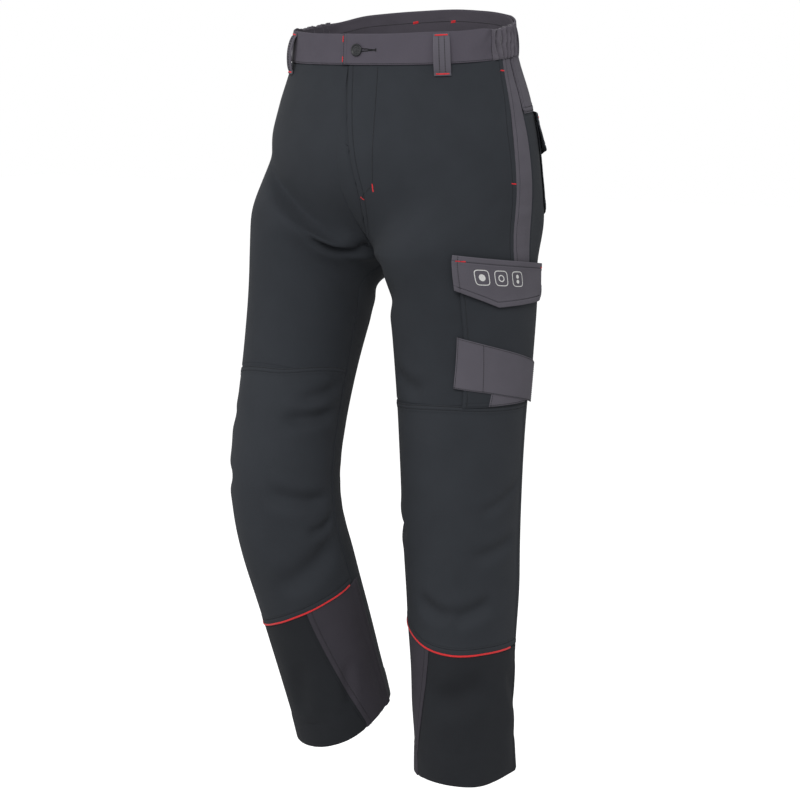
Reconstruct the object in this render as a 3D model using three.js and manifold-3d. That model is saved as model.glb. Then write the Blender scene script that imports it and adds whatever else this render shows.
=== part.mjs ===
// Flame-resistant work trousers, worn shape with nobody inside: a standing left leg and a stepping right leg.
// Millimetres. +Z is up, -Y is the wearer's front, +X is the wearer's left.
// The origin is the middle of the waist opening, level with the top edge of the front waistband.
// Every cloth piece is a shell on one surface: u runs round a half (0 centre front and inseam, 0.5 side seam,
// 1 centre back and inseam), and s is the distance down from the top edge.
import * as THREE from 'three';
import { mergeVertices } from 'three/addons/utils/BufferGeometryUtils.js';
import Module from 'manifold-3d';

const wasm = await Module();
wasm.setup();

// ---------------------------------------------------------------- driving dimensions
const CROTCH_DEPTH = 300;
const SEAT_DEPTH = 150;
const KNEE_DEPTH = 662;
const KNEE_REACH = 110;
const OUTSEAM = 1041;
const BACK_RISE = 34;
const RISE_DEPTH = 160;
const SEAM_CLEARANCE = 2;
const BAND_HEIGHT = 42;
const KNEE_SEAM = 505;
const YOKE_DEPTH = 112;
const CLOTH = 2;
const FOLDED_CLOTH = 3;
const LAYER_GAP = 0.8;
const EDGE_GAP = 0.45;
const EDGE_U = 0.0035;
const HIP_AXIS = { y: 5, z: -215 };
const HIP_CUT = { halfWidth: 208, halfDepth: 162, drop: 80 };
const KNEE_CUT = { halfWidth: 84, halfDepth: 97, drop: 86 };
const CUT_MARGIN = 2;
const CREASE_WIDTH = 75;
const LEG_TWIST = 11;
const ELASTIC_FROM = 0.44;
const ELASTIC_TO = 0.6;
const STRIPE_FRONT = 0.475;
const STRIPE_BACK = 0.54;
const LOOP_WIDTH = 22;
const LOOP_LENGTH = 55;
const LOOP_BOW = 7;
const BUTTON_RADIUS = 8.5;
const BUTTON_PLACE = { u: 0.027, s: 22 };
const ZIP_LENGTH = 138;
const ZIP_TILT = 7.4;
const SLIDER_LENGTH = 12;
const PIPING_RADIUS = 1.5;

// Half widths and depths of the seat and of each leg, from the top edge down, measured on the worn shape.
const SEAT = {
  depth: [0, 40, 100, 150, 200, 300],
  halfWidth: [165.5, 169, 189, 202, 206, 202],
  front: [124, 127, 141, 152, 154, 132],
  back: [124, 129, 148, 160, 166, 148],
};
const LEG_DEPTH = [150, 300, 340, 400, 520, 640, 760, 880, OUTSEAM];
const LEG_Y = [-10, -18, -10, -2, 0, 0, 0, 0, 0];
const PIPING_U = [0, 0.12, 0.21, 0.28, 0.39, 0.54];
const LEFT_LEG = {
  side: 1,
  kneeBend: 2,
  hipLift: 0,
  centreX: [98, 101, 106, 103, 100.5, 100, 99, 98.5, 98],
  halfWidth: [104, 101, 92, 94, 87, 82, 77, 72.5, 71],
  front: [130, 124, 117, 108, 98, 92, 86, 80, 75],
  back: [150, 128, 124, 112, 102, 94, 89, 85, 80],
  pipingDepth: 852,
  piping: [806, 826, 844, 851, 852, 852],
  gussetTop: 0.215,
  gussetBottom: 0.13,
  hemDip: 8,
};
const RIGHT_LEG = {
  side: -1,
  kneeBend: 41,
  hipLift: 19.5,
  centreX: [98, 100, 113, 118, 115, 107, 100, 97.5, 97],
  halfWidth: [104, 100, 82, 78, 73, 72, 71, 70, 69],
  front: [130, 124, 120, 107, 94, 88, 85, 81, 77],
  back: [150, 116, 108, 104, 96, 91, 88, 86, 82],
  pipingDepth: 832,
  piping: [802, 803, 810, 820, 839, 846],
  gussetTop: 0.175,
  gussetBottom: 0.09,
  hemDip: 26,
};

// ---------------------------------------------------------------- small helpers
const rad = THREE.MathUtils.degToRad;
const mix = THREE.MathUtils.lerp;

function ramp(t) {
  return THREE.MathUtils.smoothstep(t, 0, 1);
}

// A smooth curve through stations, with slopes from each station's two neighbours.
function curveThrough(xs, ys) {
  const last = xs.length - 1;
  const slopes = xs.map((x, i) => {
    if (i === 0) return (ys[1] - ys[0]) / (xs[1] - xs[0]);
    if (i === last) return (ys[last] - ys[last - 1]) / (xs[last] - xs[last - 1]);
    const before = x - xs[i - 1];
    const after = xs[i + 1] - x;
    const rise = before * before * (ys[i + 1] - ys[i]) + after * after * (ys[i] - ys[i - 1]);
    return rise / (before * after * (before + after));
  });
  return (x) => {
    const at = THREE.MathUtils.clamp(x, xs[0], xs[last]);
    let i = 0;
    while (i < last - 1 && at >= xs[i + 1]) i += 1;
    const h = xs[i + 1] - xs[i];
    const t = (at - xs[i]) / h;
    const t2 = t * t;
    const t3 = t2 * t;
    return (2 * t3 - 3 * t2 + 1) * ys[i] + (t3 - 2 * t2 + t) * h * slopes[i]
      + (3 * t2 - 2 * t3) * ys[i + 1] + (t3 - t2) * h * slopes[i + 1];
  };
}

// The middle line of a leg: straight down, then leaning back by the knee bend, spread over the knee.
function legCentreLine(kneeBend) {
  const step = 1;
  const angleAt = (s) => rad(kneeBend) * ramp((s - KNEE_DEPTH + KNEE_REACH) / (2 * KNEE_REACH));
  const ys = [0];
  const zs = [0];
  for (let s = step; s <= OUTSEAM + 20; s += step) {
    const angle = angleAt(s - step / 2);
    ys.push(ys.at(-1) + Math.sin(angle) * step);
    zs.push(zs.at(-1) - Math.cos(angle) * step);
  }
  return (s) => {
    const at = THREE.MathUtils.clamp(s, 0, (ys.length - 2) * step);
    const i = Math.floor(at / step);
    const t = at / step - i;
    return { angle: angleAt(s), y: mix(ys[i], ys[i + 1], t), z: mix(zs[i], zs[i + 1], t) };
  };
}

// Swings a point about the hip axis; a positive angle brings a leg forward.
function swingAtHip(y, z, angle) {
  const dy = y - HIP_AXIS.y;
  const dz = z - HIP_AXIS.z;
  return {
    y: HIP_AXIS.y + dy * Math.cos(angle) + dz * Math.sin(angle),
    z: HIP_AXIS.z - dy * Math.sin(angle) + dz * Math.cos(angle),
  };
}

// ---------------------------------------------------------------- the trouser surface
const seatHalfWidth = curveThrough(SEAT.depth, SEAT.halfWidth);
const seatFront = curveThrough(SEAT.depth, SEAT.front);
const seatBack = curveThrough(SEAT.depth, SEAT.back);
const legY = curveThrough(LEG_DEPTH, LEG_Y);

// One half of the trousers: the seat's ellipse turns into the leg's ring between SEAT_DEPTH and CROTCH_DEPTH.
function makeHalf(sizes) {
  const { side } = sizes;
  const centreX = curveThrough(LEG_DEPTH, sizes.centreX);
  const halfWidth = curveThrough(LEG_DEPTH, sizes.halfWidth);
  const legFront = curveThrough(LEG_DEPTH, sizes.front);
  const legBack = curveThrough(LEG_DEPTH, sizes.back);
  const centreLine = legCentreLine(sizes.kneeBend);
  const pipingAt = curveThrough(PIPING_U, sizes.piping);

  function point(u, s) {
    const nearCentre = Math.abs(Math.cos(Math.PI * u)) ** 4;
    const tau = THREE.MathUtils.clamp((s - SEAT_DEPTH) / (CROTCH_DEPTH - SEAT_DEPTH), 0, 1);
    const dip = mix(tau, Math.sin(Math.PI * tau / 2), nearCentre);
    const depth = s > CROTCH_DEPTH || s < SEAT_DEPTH ? s : mix(SEAT_DEPTH, CROTCH_DEPTH, dip);
    const legShare = mix(ramp(tau), 1 - Math.cos(Math.PI * tau / 2), nearCentre);
    const level = Math.min(depth, CROTCH_DEPTH);
    const inFront = u < 0.5;
    const seatX = seatHalfWidth(level) * Math.sin(Math.PI * u);
    const seatY = -(inFront ? seatFront(level) : seatBack(level)) * Math.cos(Math.PI * u);
    const ringX = -halfWidth(s) * Math.cos(2 * Math.PI * u);
    const ringY = -(inFront ? legFront(s) : legBack(s)) * Math.sin(2 * Math.PI * u);
    const turn = side * rad(LEG_TWIST) * ramp((s - CROTCH_DEPTH) / 250);
    const turnedX = ringX * Math.cos(turn) - ringY * Math.sin(turn);
    const turnedY = ringX * Math.sin(turn) + ringY * Math.cos(turn) + legY(s);
    const middle = centreLine(s);
    const legX = centreX(s) + turnedX;
    const legYAt = middle.y + turnedY * Math.cos(middle.angle);
    const legZ = s < CROTCH_DEPTH ? -depth : middle.z + turnedY * Math.sin(middle.angle);
    const apart = mix(seatX, legX, legShare);
    const x = (s > SEAT_DEPTH ? Math.max(apart, 0) : apart) + SEAM_CLEARANCE * ramp((s - 40) / 100);
    const y = mix(seatY, legYAt, legShare);
    const towardsBack = THREE.MathUtils.clamp(y / 130, -1, 1) * 0.5 + 0.5;
    const rise = BACK_RISE * towardsBack ** 1.5 * THREE.MathUtils.clamp(1 - depth / RISE_DEPTH, 0, 1);
    const z = mix(-depth, legZ, legShare) + rise;
    const belowCrease = ramp((x - z - CROTCH_DEPTH) * Math.SQRT1_2 / CREASE_WIDTH);
    const swung = swingAtHip(y, z, rad(sizes.hipLift) * belowCrease);
    return new THREE.Vector3(side * x, swung.y, swung.z);
  }

  function tangents(u, s) {
    const du = 0.002;
    const ds = 2;
    const across = point(u + du, s).sub(point(u - du, s)).divideScalar(2 * du);
    const down = point(u, s + ds).sub(point(u, s - ds)).divideScalar(2 * ds);
    return { across, down };
  }

  function normal(u, s) {
    const { across, down } = tangents(u, s);
    return across.cross(down).multiplyScalar(-side).normalize();
  }

  // A place on the cloth with its outward direction, lifted off the middle of the cloth.
  function place(u, s, lift = 0) {
    return point(u, s).addScaledVector(normal(u, s), lift);
  }

  const kneeMiddle = centreLine(KNEE_DEPTH);
  const knee = { x: centreX(KNEE_DEPTH), ...swingAtHip(kneeMiddle.y, kneeMiddle.z, rad(sizes.hipLift)) };
  return { ...sizes, pipingAt, point, tangents, normal, place, knee };
}

const left = makeHalf(LEFT_LEG);
const right = makeHalf(RIGHT_LEG);

// ---------------------------------------------------------------- cuts that let the legs swing
// The cloth is parted on a surface turned about each hinge axis, so that the two sides never meet. At each place
// across the body its radius clears the cloth's own half depth and reaches `drop` below the axis.
function cutRadius({ halfWidth, halfDepth, drop }, sideways) {
  const share = Math.min(Math.abs(sideways) / halfWidth, 1);
  return Math.hypot(halfDepth * Math.sqrt(1 - share * share), drop);
}

function beyondHipCut(half, u, s) {
  const p = half.point(u, s);
  return Math.hypot(p.y - HIP_AXIS.y, p.z - HIP_AXIS.z) - cutRadius(HIP_CUT, p.x);
}

function beyondKneeCut(half, u, s) {
  const p = half.point(u, s);
  const radius = cutRadius(KNEE_CUT, Math.abs(p.x) - half.knee.x);
  return Math.hypot(p.y - half.knee.y, p.z - half.knee.z) - radius;
}

// Walks up from `from` until the distance falls under the margin, then halves the step.
function depthOfCut(distance, margin, from, to) {
  const stride = 4;
  let low = from;
  while (low > to && distance(low) > margin) low -= stride;
  let high = low + stride;
  for (let i = 0; i < 24; i += 1) {
    const middle = (low + high) / 2;
    if (distance(middle) > margin) high = middle;
    else low = middle;
  }
  return low;
}

function hipCut(half, uAt, margin) {
  return depthOfCut((s) => beyondHipCut(half, uAt(s), s), margin, 480, 200);
}

function kneeCut(half, uAt, margin) {
  return depthOfCut((s) => beyondKneeCut(half, uAt(s), s), margin, 860, KNEE_DEPTH);
}

// ---------------------------------------------------------------- shells
// Joins an outer and an inner grid of points into one closed body, and turns it right side out.
function closedShell(outer, inner, columns, rows) {
  const positions = [...outer, ...inner].flatMap((p) => [p.x, p.y, p.z]);
  const at = (layer, i, j) => layer * columns * rows + j * columns + i;
  const index = [];
  const quad = (a, b, c, d) => index.push(a, b, c, a, c, d);
  for (let j = 0; j < rows - 1; j += 1) {
    for (let i = 0; i < columns - 1; i += 1) {
      quad(at(0, i, j), at(0, i + 1, j), at(0, i + 1, j + 1), at(0, i, j + 1));
      quad(at(1, i, j), at(1, i, j + 1), at(1, i + 1, j + 1), at(1, i + 1, j));
    }
  }
  for (let i = 0; i < columns - 1; i += 1) {
    quad(at(0, i, 0), at(1, i, 0), at(1, i + 1, 0), at(0, i + 1, 0));
    quad(at(0, i + 1, rows - 1), at(1, i + 1, rows - 1), at(1, i, rows - 1), at(0, i, rows - 1));
  }
  for (let j = 0; j < rows - 1; j += 1) {
    quad(at(0, 0, j + 1), at(1, 0, j + 1), at(1, 0, j), at(0, 0, j));
    quad(at(0, columns - 1, j), at(1, columns - 1, j), at(1, columns - 1, j + 1), at(0, columns - 1, j + 1));
  }
  let volume = 0;
  for (let k = 0; k < index.length; k += 3) {
    const [a, b, c] = [0, 1, 2].map((n) => new THREE.Vector3().fromArray(positions, 3 * index[k + n]));
    volume += a.dot(b.cross(c));
  }
  if (volume < 0) index.reverse();
  const geometry = new THREE.BufferGeometry();
  geometry.setAttribute('position', new THREE.Float32BufferAttribute(positions, 3));
  geometry.setIndex(index);
  geometry.computeVertexNormals();
  return geometry;
}

// A cloth piece. from(s) and to(s) are its edges in u; top(uAt) and bottom(uAt) its edges in s.
// base is how far its inner face stands off the middle of the cloth, and may vary down the piece.
function clothPiece(half, { from, to, top, bottom, base = -CLOTH / 2, thickness = CLOTH, columns = 8, rows = 8 }) {
  const edge = (value) => (typeof value === 'function' ? value : () => value);
  const [fromAt, toAt, topAt, bottomAt, baseAt] = [from, to, top, bottom, base].map(edge);
  const outer = [];
  const inner = [];
  const spans = Array.from({ length: columns + 1 }, (_, i) => {
    const uAt = (s) => mix(fromAt(s), toAt(s), i / columns);
    return { uAt, top: topAt(uAt, i / columns), bottom: bottomAt(uAt, i / columns) };
  });
  for (let j = 0; j <= rows; j += 1) {
    for (const span of spans) {
      const s = mix(span.top, span.bottom, j / rows);
      const u = span.uAt(s);
      inner.push(half.place(u, s, baseAt(j / rows)));
      outer.push(half.place(u, s, baseAt(j / rows) + thickness));
    }
  }
  return closedShell(outer, inner, columns + 1, rows + 1);
}

// The whole waist ring: u past 1 continues round the back to the other side.
const ring = {
  place: (u, s, lift) => (u <= 1 ? left.place(u, s, lift) : right.place(2 - u, s, lift)),
};

function solidOf(geometry) {
  const bare = new THREE.BufferGeometry();
  bare.setAttribute('position', (geometry.index ? geometry.toNonIndexed() : geometry).getAttribute('position'));
  const merged = mergeVertices(bare, 1e-3);
  return new wasm.Manifold(new wasm.Mesh({
    numProp: 3,
    vertProperties: merged.attributes.position.array,
    triVerts: new Uint32Array(merged.index.array),
  }));
}

function geometryOf(solid) {
  const { vertProperties, triVerts } = solid.getMesh();
  const geometry = new THREE.BufferGeometry();
  geometry.setAttribute('position', new THREE.BufferAttribute(vertProperties, 3));
  geometry.setIndex(new THREE.BufferAttribute(triVerts, 1));
  geometry.computeVertexNormals();
  return geometry;
}

// ---------------------------------------------------------------- materials
const FINISHES = {
  black_cloth: { color: 0x34363b, roughness: 0.9, metalness: 0 },
  knee_canvas: { color: 0x34373c, roughness: 0.95, metalness: 0 },
  grey_cloth: { color: 0x5a5860, roughness: 0.9, metalness: 0 },
  lining: { color: 0x4f4b54, roughness: 0.95, metalness: 0 },
  red_cord: { color: 0xe03a40, roughness: 0.7, metalness: 0 },
  black_plastic: { color: 0x15161a, roughness: 0.4, metalness: 0 },
  brass: { color: 0xa98d50, roughness: 0.35, metalness: 1 },
};

const trousers = new THREE.Group();

function add(group, name, geometry, finish) {
  const mesh = new THREE.Mesh(geometry, new THREE.MeshStandardMaterial(FINISHES[finish]));
  mesh.name = name;
  group.add(mesh);
  return mesh;
}

// ---------------------------------------------------------------- waistband
const hips = new THREE.Group();
trousers.add(hips);
const band = { top: 0, bottom: BAND_HEIGHT - EDGE_GAP, thickness: FOLDED_CLOTH, rows: 2 };
const bandOverlap = -0.016;
const bandRightEnd = -bandOverlap + 2 * EDGE_U;

// The left end laps over the right one; a keyhole lets the button's shank through.
function buttonFrame(lift) {
  const { u, s } = BUTTON_PLACE;
  const frame = new THREE.Object3D();
  frame.position.copy(left.place(u, s, lift));
  frame.quaternion.setFromUnitVectors(new THREE.Vector3(0, 0, 1), left.normal(u, s));
  frame.updateMatrix();
  return frame;
}

function keyhole() {
  const outline = new THREE.Shape();
  outline.absarc(0, 0, 3.2, rad(30), rad(330), false);
  outline.lineTo(13, -1.6);
  outline.lineTo(13, 1.6);
  const cutter = new THREE.ExtrudeGeometry(outline, { depth: 10, bevelEnabled: false, curveSegments: 5 });
  cutter.translate(0, 0, -5);
  return cutter.applyMatrix4(buttonFrame(0).matrix);
}

const leftBand = clothPiece(left, { ...band, from: bandOverlap, to: ELASTIC_FROM - EDGE_U, columns: 8 });
add(hips, 'waistband_left', geometryOf(solidOf(leftBand).subtract(solidOf(keyhole()))), 'grey_cloth');
const rightBand = clothPiece(right, { ...band, from: bandRightEnd, to: ELASTIC_FROM - EDGE_U, columns: 8 });
add(hips, 'waistband_right', rightBand, 'grey_cloth');
const backBand = { ...band, from: ELASTIC_TO + EDGE_U, to: 2 - ELASTIC_TO - EDGE_U, columns: 14 };
add(hips, 'waistband_back', clothPiece(ring, backBand), 'grey_cloth');
const underlap = { ...band, from: -0.06, to: 0.062, base: -4.2, thickness: CLOTH, top: 2, columns: 4 };
add(hips, 'waistband_underlap', clothPiece(left, underlap), 'grey_cloth');
for (const [half, name] of [[left, 'left'], [right, 'right']]) {
  const elastic = { ...band, from: ELASTIC_FROM, to: ELASTIC_TO, columns: 4 };
  add(hips, `elastic_side_${name}`, clothPiece(half, elastic), 'grey_cloth');
}
const lining = { ...band, from: 0.07, to: 1.93, top: 2, base: -3.8, thickness: CLOTH, columns: 26 };
add(hips, 'waistband_lining', clothPiece(ring, lining), 'lining');

// ---------------------------------------------------------------- belt loops
const LOOP_PLACES = [
  ['belt_loop_front_left', 0.265],
  ['belt_loop_side_left', 0.76],
  ['belt_loop_back_left', 0.88],
  ['belt_loop_back_centre', 1],
  ['belt_loop_back_right', 1.12],
  ['belt_loop_side_right', 1.24],
  ['belt_loop_front_right', 1.735],
];
for (const [name, u] of LOOP_PLACES) {
  const halfWidthInU = LOOP_WIDTH / 2 / ring.place(u - 0.01, 30, 0).distanceTo(ring.place(u + 0.01, 30, 0)) * 0.02;
  const loop = clothPiece(ring, {
    from: u - halfWidthInU,
    to: u + halfWidthInU,
    top: 3,
    bottom: 3 + LOOP_LENGTH,
    base: (t) => FOLDED_CLOTH - 0.6 + LOOP_BOW * Math.sin(Math.PI * t) ** 0.6,
    thickness: 1.6,
    columns: 2,
    rows: 8,
  });
  add(hips, name, loop, 'grey_cloth');
}

// ---------------------------------------------------------------- waist button
const capProfile = [
  [0, 0], [2.4, 0], [2.4, 4.4], [BUTTON_RADIUS - 0.6, 4.4], [BUTTON_RADIUS, 5], [BUTTON_RADIUS, 6.2],
  [BUTTON_RADIUS - 1, 7], [BUTTON_RADIUS - 2.4, 6.4], [0, 6.4],
];
const tackProfile = [[0, 0], [4.6, 0], [4, -1.2], [0, -1.4]].reverse();

function lathe(profile, segments) {
  const points = profile.map(([r, z]) => new THREE.Vector2(r, z));
  return new THREE.LatheGeometry(points, segments).rotateX(Math.PI / 2);
}

const button = add(hips, 'waist_button', lathe(capProfile, 20), 'black_plastic');
button.position.copy(buttonFrame(-1.9).position);
button.quaternion.copy(buttonFrame(0).quaternion);
const tack = add(hips, 'button_tack', lathe(tackProfile, 12), 'brass');
tack.position.copy(buttonFrame(-4.8).position);
tack.quaternion.copy(buttonFrame(0).quaternion);

// ---------------------------------------------------------------- fly and zip
// The placket's front edge drifts to the wearer's left as it nears the crotch, and its foot curves back to it.
const flyEdge = curveThrough([40, 110, 150, 200], [0.004, 0.02, 0.03, 0.048]);
const flyFoot = curveThrough([40, 150, 180, 198], [0.088, 0.095, 0.088, 0.06]);
const placket = {
  from: flyEdge,
  to: flyFoot,
  top: BAND_HEIGHT + EDGE_GAP,
  bottom: 198,
  base: CLOTH / 2 + 2 * LAYER_GAP,
  thickness: 1,
  columns: 3,
  rows: 12,
};
add(hips, 'fly_placket', clothPiece(left, placket), 'black_cloth');

const fly = new THREE.Group();
fly.position.set(22, -115.5, -50);
fly.rotation.x = rad(-ZIP_TILT);
hips.add(fly);

function block(width, depth, height) {
  return new THREE.BoxGeometry(width, depth, height);
}

const chain = { width: 2.2, depth: 2.2, from: 0.9 };
for (const [name, sign] of [['left', 1], ['right', -1]]) {
  const teeth = add(fly, `zip_teeth_${name}`, block(chain.width, chain.depth, ZIP_LENGTH), 'brass');
  teeth.position.set(sign * (chain.from + chain.width / 2), 0, -ZIP_LENGTH / 2);
  const tape = add(fly, `zip_tape_${name}`, block(13, 0.8, ZIP_LENGTH + 6), 'black_cloth');
  tape.position.set(sign * (chain.from + chain.width + 0.3 + 6.5), 0, -ZIP_LENGTH / 2);
}
const shield = add(fly, 'fly_shield', block(56, 1.6, ZIP_LENGTH + 10), 'black_cloth');
shield.position.set(-4, 5.2, -ZIP_LENGTH / 2 - 2);

// The slider: a front and a back plate with a web between them that runs between the rows of teeth.
function sliderSection() {
  const plate = 4.6;
  const web = 0.45;
  const outerFace = 2.9;
  const innerFace = 1.6;
  const outline = new THREE.Shape();
  const corners = [
    [-plate, -outerFace], [plate, -outerFace], [plate, -innerFace], [web, -innerFace], [web, innerFace],
    [plate, innerFace], [plate, outerFace], [-plate, outerFace], [-plate, innerFace], [-web, innerFace],
    [-web, -innerFace], [-plate, -innerFace],
  ];
  corners.forEach(([x, y], i) => (i ? outline.lineTo(x, y) : outline.moveTo(x, y)));
  return outline;
}

const sliderShape = new THREE.ExtrudeGeometry(sliderSection(), { depth: SLIDER_LENGTH, bevelEnabled: false });
const slider = add(fly, 'zip_slider', sliderShape, 'brass');
slider.position.z = -SLIDER_LENGTH;
const pull = add(fly, 'zip_pull', block(5, 1.2, 15), 'brass');
pull.position.set(0, -2.9 - 0.35 - 0.6, -SLIDER_LENGTH / 2 - 7.5);

// ---------------------------------------------------------------- panels of each half
const toHipCut = (half) => (uAt) => hipCut(half, uAt, -CUT_MARGIN);
const fromHipCut = (half) => (uAt) => hipCut(half, uAt, CUT_MARGIN);
const toKneeCut = (half) => (uAt) => kneeCut(half, uAt, -CUT_MARGIN);
const fromKneeCut = (half) => (uAt) => kneeCut(half, uAt, CUT_MARGIN);
const hemOf = (half) => (uAt) => OUTSEAM - half.hemDip * (0.5 + 0.5 * Math.cos(2 * Math.PI * uAt(OUTSEAM)));
const underBand = BAND_HEIGHT + EDGE_GAP;
const seamU = EDGE_U * 0.5;

function gussetEdge(half) {
  return (s) => mix(half.gussetTop, half.gussetBottom, ramp((s - half.pipingDepth) / 160));
}

for (const [half, name] of [[left, 'left'], [right, 'right']]) {
  const thigh = new THREE.Group();
  const shin = new THREE.Group();
  trousers.add(thigh, shin);
  const frontSpan = { from: EDGE_U, to: STRIPE_FRONT - seamU };
  const sideSpan = { from: STRIPE_FRONT + seamU, to: STRIPE_BACK - seamU };
  const backSpan = { from: STRIPE_BACK + seamU, to: 1 - EDGE_U };

  const hipFront = { ...frontSpan, top: underBand, bottom: toHipCut(half), columns: 12, rows: 12 };
  add(hips, `hip_front_${name}`, clothPiece(half, hipFront), 'black_cloth');
  const hipSide = { ...sideSpan, top: underBand, bottom: toHipCut(half), columns: 2, rows: 12 };
  add(hips, `hip_stripe_${name}`, clothPiece(half, hipSide), 'grey_cloth');
  const yoke = { ...backSpan, top: underBand, bottom: YOKE_DEPTH - EDGE_GAP, columns: 8, rows: 3 };
  add(hips, `yoke_${name}`, clothPiece(half, yoke), 'grey_cloth');
  const seat = { ...backSpan, top: YOKE_DEPTH + EDGE_GAP, bottom: toHipCut(half), columns: 12, rows: 11 };
  add(hips, `seat_${name}`, clothPiece(half, seat), 'black_cloth');
  const bag = { from: 0.24, to: 0.44, top: 66, bottom: 232, base: -5.6, thickness: 1.6, columns: 6, rows: 7 };
  add(hips, `pocket_bag_${name}`, clothPiece(half, bag), 'lining');

  const rearPocket = {
    from: 0.62,
    to: 0.86,
    top: YOKE_DEPTH + 14,
    bottom: 246,
    base: CLOTH / 2 + 2 * LAYER_GAP,
    thickness: 1.6,
    columns: 8,
    rows: 7,
  };
  add(hips, `rear_pocket_${name}`, clothPiece(half, rearPocket), 'black_cloth');
  const rearFlap = { ...rearPocket, from: 0.605, to: 0.87, top: YOKE_DEPTH + 4, bottom: 166, rows: 3 };
  rearFlap.base = rearPocket.base + CLOTH + LAYER_GAP;
  add(hips, `rear_flap_${name}`, clothPiece(half, rearFlap), 'black_cloth');

  const toKneeSeam = KNEE_SEAM - EDGE_GAP;
  const thighFront = { ...frontSpan, top: fromHipCut(half), bottom: toKneeSeam, columns: 12, rows: 7 };
  add(thigh, `thigh_front_${name}`, clothPiece(half, thighFront), 'black_cloth');
  const thighSide = { ...sideSpan, top: fromHipCut(half), bottom: toKneeSeam, columns: 2, rows: 7 };
  add(thigh, `thigh_stripe_${name}`, clothPiece(half, thighSide), 'grey_cloth');
  const thighBack = { ...backSpan, top: fromHipCut(half), bottom: toKneeCut(half), columns: 12, rows: 9 };
  add(thigh, `thigh_back_${name}`, clothPiece(half, thighBack), 'black_cloth');
  const kneeSpan = { from: EDGE_U, to: STRIPE_BACK - seamU };
  const kneeUpper = { ...kneeSpan, top: KNEE_SEAM + EDGE_GAP, bottom: toKneeCut(half), columns: 12, rows: 5 };
  add(thigh, `knee_patch_upper_${name}`, clothPiece(half, kneeUpper), 'knee_canvas');

  const aboveUnderCord = (offset) => (uAt) => half.pipingAt(uAt(half.pipingDepth)) + offset;
  const cordClearance = PIPING_RADIUS + 0.6;
  const kneeLower = { ...kneeSpan, top: fromKneeCut(half), bottom: aboveUnderCord(-cordClearance) };
  add(shin, `knee_patch_lower_${name}`, clothPiece(half, { ...kneeLower, columns: 12, rows: 3 }), 'knee_canvas');
  const belowCord = aboveUnderCord(cordClearance);
  const gusset = { from: EDGE_U, to: (s) => gussetEdge(half)(s) - seamU, top: belowCord, bottom: hemOf(half) };
  add(shin, `calf_gusset_${name}`, clothPiece(half, { ...gusset, columns: 5, rows: 5 }), 'grey_cloth');
  const cuff = { from: (s) => gussetEdge(half)(s) + seamU, to: kneeSpan.to, top: belowCord, bottom: hemOf(half) };
  add(shin, `cuff_front_${name}`, clothPiece(half, { ...cuff, columns: 9, rows: 5 }), 'black_cloth');
  const calfBack = { ...backSpan, top: fromKneeCut(half), bottom: hemOf(half), columns: 12, rows: 6 };
  add(shin, `calf_back_${name}`, clothPiece(half, calfBack), 'black_cloth');

  const cordSteps = 14;
  const cordPath = Array.from({ length: cordSteps + 1 }, (_, i) => {
    const u = mix(EDGE_U * 2, kneeSpan.to - EDGE_U, i / cordSteps);
    return half.place(u, half.pipingAt(u), 0);
  });
  const section = new THREE.Shape().absarc(0, 0, PIPING_RADIUS, 0, 2 * Math.PI);
  const cordShape = new THREE.ExtrudeGeometry(section, {
    extrudePath: new THREE.CatmullRomCurve3(cordPath),
    steps: cordSteps,
    curveSegments: 3,
  });
  add(shin, `piping_${name}`, cordShape, 'red_cord');
}

// ---------------------------------------------------------------- cargo pocket on the left thigh
const cargo = { from: 0.335, to: 0.6, base: CLOTH / 2 + 2 * LAYER_GAP, thickness: 3, columns: 10 };
const pocketTop = (uAt, t) => mix(302, 326, t);
const pocketShape = { ...cargo, top: pocketTop, bottom: KNEE_SEAM - 4, rows: 5 };
add(trousers, 'cargo_pocket', clothPiece(left, pocketShape), 'black_cloth');
const overPocket = cargo.base + cargo.thickness + LAYER_GAP;
const patchShape = {
  from: 0.325,
  to: 0.575,
  top: (uAt, t) => mix(405, 452, t),
  bottom: (uAt, t) => mix(470, 498, t),
  base: overPocket,
  thickness: 1.2,
  columns: 10,
  rows: 3,
};
add(trousers, 'cargo_patch', clothPiece(left, patchShape), 'grey_cloth');
const flapShape = {
  from: 0.35,
  to: 0.608,
  top: (uAt, t) => mix(291, 316, t),
  bottom: (uAt, t) => mix(339, 367, ramp(t / 0.38)),
  base: overPocket,
  thickness: 1.8,
  columns: 10,
  rows: 3,
};
add(trousers, 'cargo_flap', clothPiece(left, flapShape), 'grey_cloth');

export default trousers;
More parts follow.
